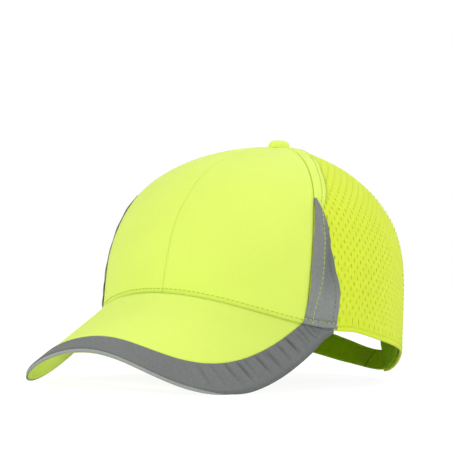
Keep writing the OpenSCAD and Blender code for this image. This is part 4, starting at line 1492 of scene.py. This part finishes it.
def make_arch_tape():
    turn = np.radians(np.linspace(158, 22, 70))[:, None]
    share = np.linspace(0, 1, 8)[None, :]
    azimuth = 180 - (ARCH_ANGLE + 0.5 + 6 * share) * np.cos(turn)
    z = REAR_RIM_Z + (ARCH_HEIGHT + 0.001 + 0.009 * share) * np.sin(turn)
    finish_tape("rear_arch_tape_cloth", azimuth, z, 2 * share - 1, "rear_arch_tape")


make_seam_tape("front_seam_tape", 0.0, float(panel_low_z(0.0)) + TAPE_START)
make_seam_tape("rear_seam_tape", 180.0, REAR_RIM_Z + ARCH_HEIGHT + 0.012)
for side, name in SIDES:
    make_seam_tape(f"front_side_tape_{name}", side * FRONT_SEAM, float(panel_low_z(FRONT_SEAM)) + TAPE_START)
    make_seam_tape(f"rear_side_tape_{name}", side * REAR_SEAM, float(rim_z(side * REAR_SEAM)) + TAPE_START)
make_arch_tape()

# %% [markdown]
# The hard shell is one moulding: vent slots in two tiers between low ribs, cut high over the
# rear opening. A coarse wall with open cells gives the layout, and two levels of subdivision
# round every slot and edge, as a mould does.

# %% Bump shell
SHELL_DEPTH, SHELL_THICKNESS, SHELL_COLUMNS, SHELL_ROWS, SHELL_BAY = 0.0034, 0.0022, 72, 11, 6
SHELL_RISE, SHELL_STOP, RIB_HEIGHT = 0.022, 0.013, 0.001
LOW_SLOT_ROWS, LOW_SLOT_PLACES, HIGH_SLOT_ROWS, HIGH_SLOT_PLACES = (2, 3, 4), (1, 4), (7, 8), (2, 3)


def make_shell():
    column = np.arange(SHELL_COLUMNS)[:, None]
    row = np.arange(SHELL_ROWS + 1)[None, :]
    azimuth = 360 * column / SHELL_COLUMNS - 180.0
    over_arch = arch_z(azimuth, ARCH_ANGLE + 10, ARCH_HEIGHT + 0.012)
    low_z = np.maximum(panel_low_z(azimuth) + SHELL_RISE, over_arch)
    in_bay = (column + SHELL_BAY // 2) % SHELL_BAY
    rib = RIB_HEIGHT * ((in_bay == 0) & (row > 1) & (row < SHELL_ROWS - 1))

    def surface(depth):
        rise = climb(azimuth, low_z, row / SHELL_ROWS, SHELL_STOP, depth - rib)
        return crown_point(azimuth, rise, depth - rib)

    cell_row = row[:, :-1]
    low_slot = np.isin(cell_row, LOW_SLOT_ROWS) & np.isin(in_bay, LOW_SLOT_PLACES)
    high_slot = np.isin(cell_row, HIGH_SLOT_ROWS) & np.isin(in_bay, HIGH_SLOT_PLACES)
    piece = wall("vented_shell", surface(SHELL_DEPTH), surface(SHELL_DEPTH + SHELL_THICKNESS),
                 ring=True, vent=low_slot | high_slot)
    dress(smooth(piece, 2), shell_plastic, stands_for=["bump_shell"])
    print("vent slots:", int(low_slot.sum() / 3 + high_slot.sum() / 4))


make_shell()

# %% [markdown]
# The sweatband is a padded strip sewn at the rim and standing free inside the shell. Its
# section is a flat cushion between two sewn edges, a little gathered along the lower one.

# %% Sweatband
BAND_HEIGHT, BAND_FOOT, BAND_HEAD, BAND_ENDS = 0.035, 0.0025, 0.0062, 143.0
SEWN_ROWS = (0.09, 0.91)


def sweatband_point(azimuth, up, extra):
    depth = mix(BAND_FOOT, BAND_HEAD, ease(2 * up)) + extra
    return crown_at(azimuth, panel_low_z(azimuth) + 0.001 + up * BAND_HEIGHT, depth)


def sweatband_padding(azimuth, up):
    seams = sum(bell(up - row, 0.035) for row in SEWN_ROWS)
    full = (1 - np.abs(2 * up - 1) ** 8) ** 0.5
    gathers = 0.00012 * np.sin(azimuth * 1.9) * np.sin(azimuth * 0.47 + 1.2) * bell(up - 0.12, 0.16)
    return 0.0005 + 0.0011 * full - 0.0006 * seams + gathers


def make_sweatband():
    azimuth = np.linspace(-BAND_ENDS, BAND_ENDS, 300)[:, None]
    up = np.linspace(0, 1, 34)[None, :]
    outer = sweatband_point(azimuth, up, 0.0)
    inner = sweatband_point(azimuth, up, sweatband_padding(azimuth, up))
    # Painted shade along the two sewn rows.
    crease = 0.5 * sum(bell(up - row, 0.02) for row in SEWN_ROWS)
    piece = wall("sweatband_padded", outer, inner, crease=crease)
    dress(piece, sweatband_cloth, stands_for=["sweatband"])
    line = np.linspace(-BAND_ENDS + 1, BAND_ENDS - 1, 260)
    for row in SEWN_ROWS:
        sew(yellow_thread, "cap", sweatband_point(line, row, sweatband_padding(line, row) + 0.0001))


make_sweatband()

# %% [markdown]
# Foam is cut as a slab and swells a little when it is covered. Each pad starts slightly small,
# is remeshed, and is swollen by a short cloth simulation under pressure, in which no point may
# move further than a set limit.

# %% Foam that swells
PRESSURE, SWELL_FRAMES, PAD_VOXEL, MOST_SWELL = 4.0, 20, 0.0016, 0.0008


def swell(piece):
    """Remeshes a pad and swells it with cloth pressure, each point by a limited distance."""
    remesh = piece.modifiers.new("remesh", "REMESH")
    remesh.mode = "VOXEL"
    remesh.voxel_size = PAD_VOXEL
    flatten_modifiers(piece)
    before = np.zeros(len(piece.data.vertices) * 3, np.float32)
    piece.data.vertices.foreach_get("co", before)
    cloth = piece.modifiers.new("swelling", "CLOTH")
    cloth.settings.use_pressure = True
    cloth.settings.uniform_pressure_force = PRESSURE
    cloth.settings.effector_weights.gravity = 0.0
    cloth.point_cache.frame_start, cloth.point_cache.frame_end = 1, SWELL_FRAMES
    for frame_number in range(1, SWELL_FRAMES + 1):
        bpy.context.scene.frame_set(frame_number)
    flatten_modifiers(piece)
    after = np.zeros_like(before)
    piece.data.vertices.foreach_get("co", after)
    moves = (after - before).reshape(-1, 3)
    lengths = np.linalg.norm(moves, axis=1, keepdims=True)
    moves *= np.minimum(1.0, MOST_SWELL / np.maximum(lengths, 1e-9))
    piece.data.vertices.foreach_set("co", (before.reshape(-1, 3) + moves).ravel())
    bpy.context.scene.frame_set(1)
    return smooth(piece, 1)


print("pads swell by at most", MOST_SWELL, "m")

# %% [markdown]
# Five pads line the shell, at the front, the two sides, the rear and the crown. Four of them
# are slabs with rounded corners and one is a ring under the button. Their edges are thinner
# than their middles, as cut and covered foam is.

# %% Foam pads
PAD_DEPTH, PAD_THICKNESS, PAD_GAP = 0.0059, 0.005, 0.0008
PAD_MIDDLE = PAD_DEPTH + PAD_THICKNESS / 2
EDGE_HALF, CORNER_CUT = 0.0007, 0.16


def rounded_grid(count):
    """A grid over a slab with rounded corners: places across and along, from -1 to 1."""
    line = np.sin(np.linspace(-np.pi / 2, np.pi / 2, count))
    across, along = np.meshgrid(line, line, indexing="ij")
    return across * (1 - CORNER_CUT * along**6), along * (1 - CORNER_CUT * across**6)


def finish_pad(piece, node):
    dress(swell(piece), pad_foam, stands_for=[node])


def make_pad(node, middle, span, low, high_z):
    across, along = rounded_grid(26)
    azimuth = middle + across * (span / 2 - 0.6)
    z = mix(low(azimuth) + PAD_GAP, high_z - PAD_GAP, (along + 1) / 2)
    edge = np.clip(1 - np.maximum(np.abs(across), np.abs(along)), 0, 1)
    half = mix(EDGE_HALF, 0.0017, ease(edge / 0.22))
    outer, inner = (crown_at(azimuth, z, PAD_MIDDLE + side * half) for side in (-1, 1))
    finish_pad(wall(f"{node}_foam", outer, inner), node)


def make_crown_pad():
    """A round pad under the button, with a small hole in the middle."""
    azimuth = np.linspace(-180, 175, 72)[:, None]
    share = np.linspace(0, 1, 12)[None, :]
    half = EDGE_HALF + 0.0010 * np.sqrt(np.clip(1 - (2 * share - 1) ** 4, 0, 1))
    rise = climb(azimuth, CROWN_TOP_Z - 0.0130, mix(0.02, 0.98, share), 0.0055, PAD_MIDDLE)
    outer, inner = (crown_point(azimuth, rise, PAD_MIDDLE + side * half) for side in (-1, 1))
    finish_pad(wall("crown_pad_foam", outer, inner, ring=True), "crown_pad")


def over_sweatband(azimuth):
    return panel_low_z(azimuth) + BAND_HEIGHT + 0.005


make_pad("front_pad", 0.0, 68.0, over_sweatband, CROWN_TOP_Z - 0.020)
for side, name in SIDES:
    make_pad(f"side_pad_{name}", side * 87.0, 50.0, lambda a: over_sweatband(a) + 0.001, CROWN_TOP_Z - 0.028)
make_pad("rear_pad", 180.0, 52.0, lambda a: REAR_RIM_Z + ARCH_HEIGHT + 0.020, CROWN_TOP_Z - 0.024)
make_crown_pad()

# %% [markdown]
# The closure is a strap that is sewn over the right rear corner and grips a short tab on the
# left one with hooks and loops. Every layer of it is a band between two azimuths, at its own
# depth, so one helper makes them all. Its height grows from the free end to the sewn one.

# %% Layers of the closure
STRAP_END, STRAP_FOLD, ROOT_END, TAB_START, TAB_END = 151.0, 210.0, 220.0, 143.5, 164.5
STRAP_THICKNESS, PATCH_THICKNESS, PATCH_MARGIN = 0.0011, 0.0006, 0.002
STRAP_LOW, STRAP_HIGH = 0.013, 0.0165


def strap_edges(azimuth):
    low = rim_z(azimuth) + 0.001
    return low, low + mix(STRAP_LOW, STRAP_HIGH, ease((azimuth - 158) / 26))


def closure_layer(name, azimuth, depth, thickness, margin, puffed=0.0, crease=None):
    """A band of the closure. azimuth is a table: one column for each place along the band."""
    share = np.linspace(0, 1, azimuth.shape[1])[None, :]
    low, high = strap_edges(azimuth)
    z = mix(low + margin, high - margin, share)
    soft_edge = (1 - np.abs(2 * share - 1) ** 6) ** 0.5
    outer = crown_at(azimuth, z, depth - puffed * soft_edge)
    inner = crown_at(azimuth, z, depth + thickness * mix(0.55, 1.0, soft_edge))
    return wall(name, outer, inner, crease=crease), cut_size(outer)


def slanted(first, low_end, high_end, columns):
    """Azimuths of a band from a straight start to an end that is cut at a slant."""
    ends = np.linspace(low_end, high_end, 12)[None, :]
    return mix(first, ends, np.linspace(0, 1, columns)[:, None])


def straight(first, last, columns):
    return slanted(first, last, last, columns)


print("strap width:", STRAP_LOW, "to", STRAP_HIGH, "m")

# %% [markdown]
# The tab's end is cut at a slant, with a dark line of painted shade along it. The loops are a
# soft pile on its outer face, and the strap's hooks press into them when the cap is closed.


# %% Tab and loops
def make_tab():
    azimuth = slanted(TAB_START, TAB_END - 2.0, TAB_END - 9.5, 40)
    # Painted shade along the slanted end.
    crease = np.zeros(azimuth.shape)
    crease[-2:] = 0.9
    depth = mix(0.0022, 0.0014, ease((azimuth - 148) / 3))
    tab, area = closure_layer("tab_cloth", azimuth, depth, STRAP_THICKNESS, 0.0004, crease=crease)
    dress(tab, strap_webbing, stands_for=["closure_tab"], area=area)
    patch = slanted(150.5, TAB_END - 3.0, TAB_END - 10.0, 24)
    loops, area = closure_layer("loop_patch_pile", patch, 0.0008, PATCH_THICKNESS, PATCH_MARGIN)
    dress(loops, loop_pile, stands_for=["closure_loop_patch"], area=area)


make_tab()

# %% [markdown]
# The strap bends where it leaves the part that is sewn down. Its cloth and its grey tape
# are given no body. The hooks are stiff and only ride on the strap.

# %% Strap, tape, hooks and their stitches
STRAP_DEPTH, TAPE_OVER_DEPTH, HOOK_DEPTH, STITCH_DEPTH = -0.0013, -0.0017, 0.00005, -0.0019
OVER_THICKNESS, OVER_MARGIN, OVER_PUFF = 0.0004, 0.0006, 0.0001
FOLD_MARGIN, BLEND_MARGIN, FOLD_Z = 3.5, 2.5, 0.028


def strap_line(first, last, share, count):
    azimuth = np.linspace(first, last, count)
    return crown_at(azimuth, mix(*strap_edges(azimuth), share), STITCH_DEPTH)


def make_strap():
    layer = straight(STRAP_END, ROOT_END, 150)
    strap, area = closure_layer("strap_cloth", layer, STRAP_DEPTH, STRAP_THICKNESS, 0.0)
    nodes = ["closure_strap", "closure_strap_root"]
    dress(strap, strap_webbing, body=None, area=area, stands_for=nodes)
    layer = straight(STRAP_END + 0.6, ROOT_END - 1.0, 140)
    tape, area = closure_layer("strap_reflective_tape", layer, TAPE_OVER_DEPTH, OVER_THICKNESS,
                               OVER_MARGIN, OVER_PUFF)
    nodes = ["closure_reflective_tape"]
    dress(tape, reflective_cloth, body=None, area=area, stands_for=nodes)
    turns = (STRAP_FOLD + BLEND_MARGIN, STRAP_FOLD - BLEND_MARGIN)
    cap_side, strap_side = (tuple(crown_at(turn, FOLD_Z, -0.001)) for turn in turns)
    for piece in (strap, tape):
        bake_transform(piece)
    layer = straight(STRAP_END + 1, 169.0, 30)
    hooks, area = closure_layer("hook_patch_hooks", layer, HOOK_DEPTH, PATCH_THICKNESS, PATCH_MARGIN)
    dress(hooks, hook_plastic, body="strap", stands_for=["closure_hook_patch"], area=area)


def sew_strap():
    last = ROOT_END - 1.6
    for share in (0.13, 0.87):
        sew(grey_thread, "strap", strap_line(STRAP_END + 1.2, STRAP_FOLD - FOLD_MARGIN, share, 140))
        sew(grey_thread, "cap", strap_line(STRAP_FOLD + FOLD_MARGIN, last, share, 20))
    low, high = strap_edges(last)
    sew(grey_thread, "cap", crown_line(last, np.linspace(low + 0.002, high - 0.002, 12), -STITCH_DEPTH))


make_strap()
sew_strap()

# %% [markdown]
# Last, all the remembered lines are sewn, one mesh for each thread and body, and the two
# frame pieces that are kept get their plastic and their metal.


# %% Sew the lines and finish the kept pieces
def sew_all():
    for (thread, body), lines in sewn_lines.items():
        points, edges = [], []
        for line in lines:
            first = len(points)
            points.extend(line.tolist())
            edges.extend((first + i, first + i + 1) for i in range(len(line) - 1))
        mesh = bpy.data.meshes.new(f"{thread.name}_{body}")
        mesh.from_pydata(points, edges, [])
        piece = run_nodes(link(mesh.name, mesh), SEW, pitch=0.003, material=thread)
        dress(piece, thread, body)


sew_all()
for node, material in (("button_washer", washer_metal), ("brim_board", brim_plastic)):
    for material_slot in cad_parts[node].material_slots:
        material_slot.material = material
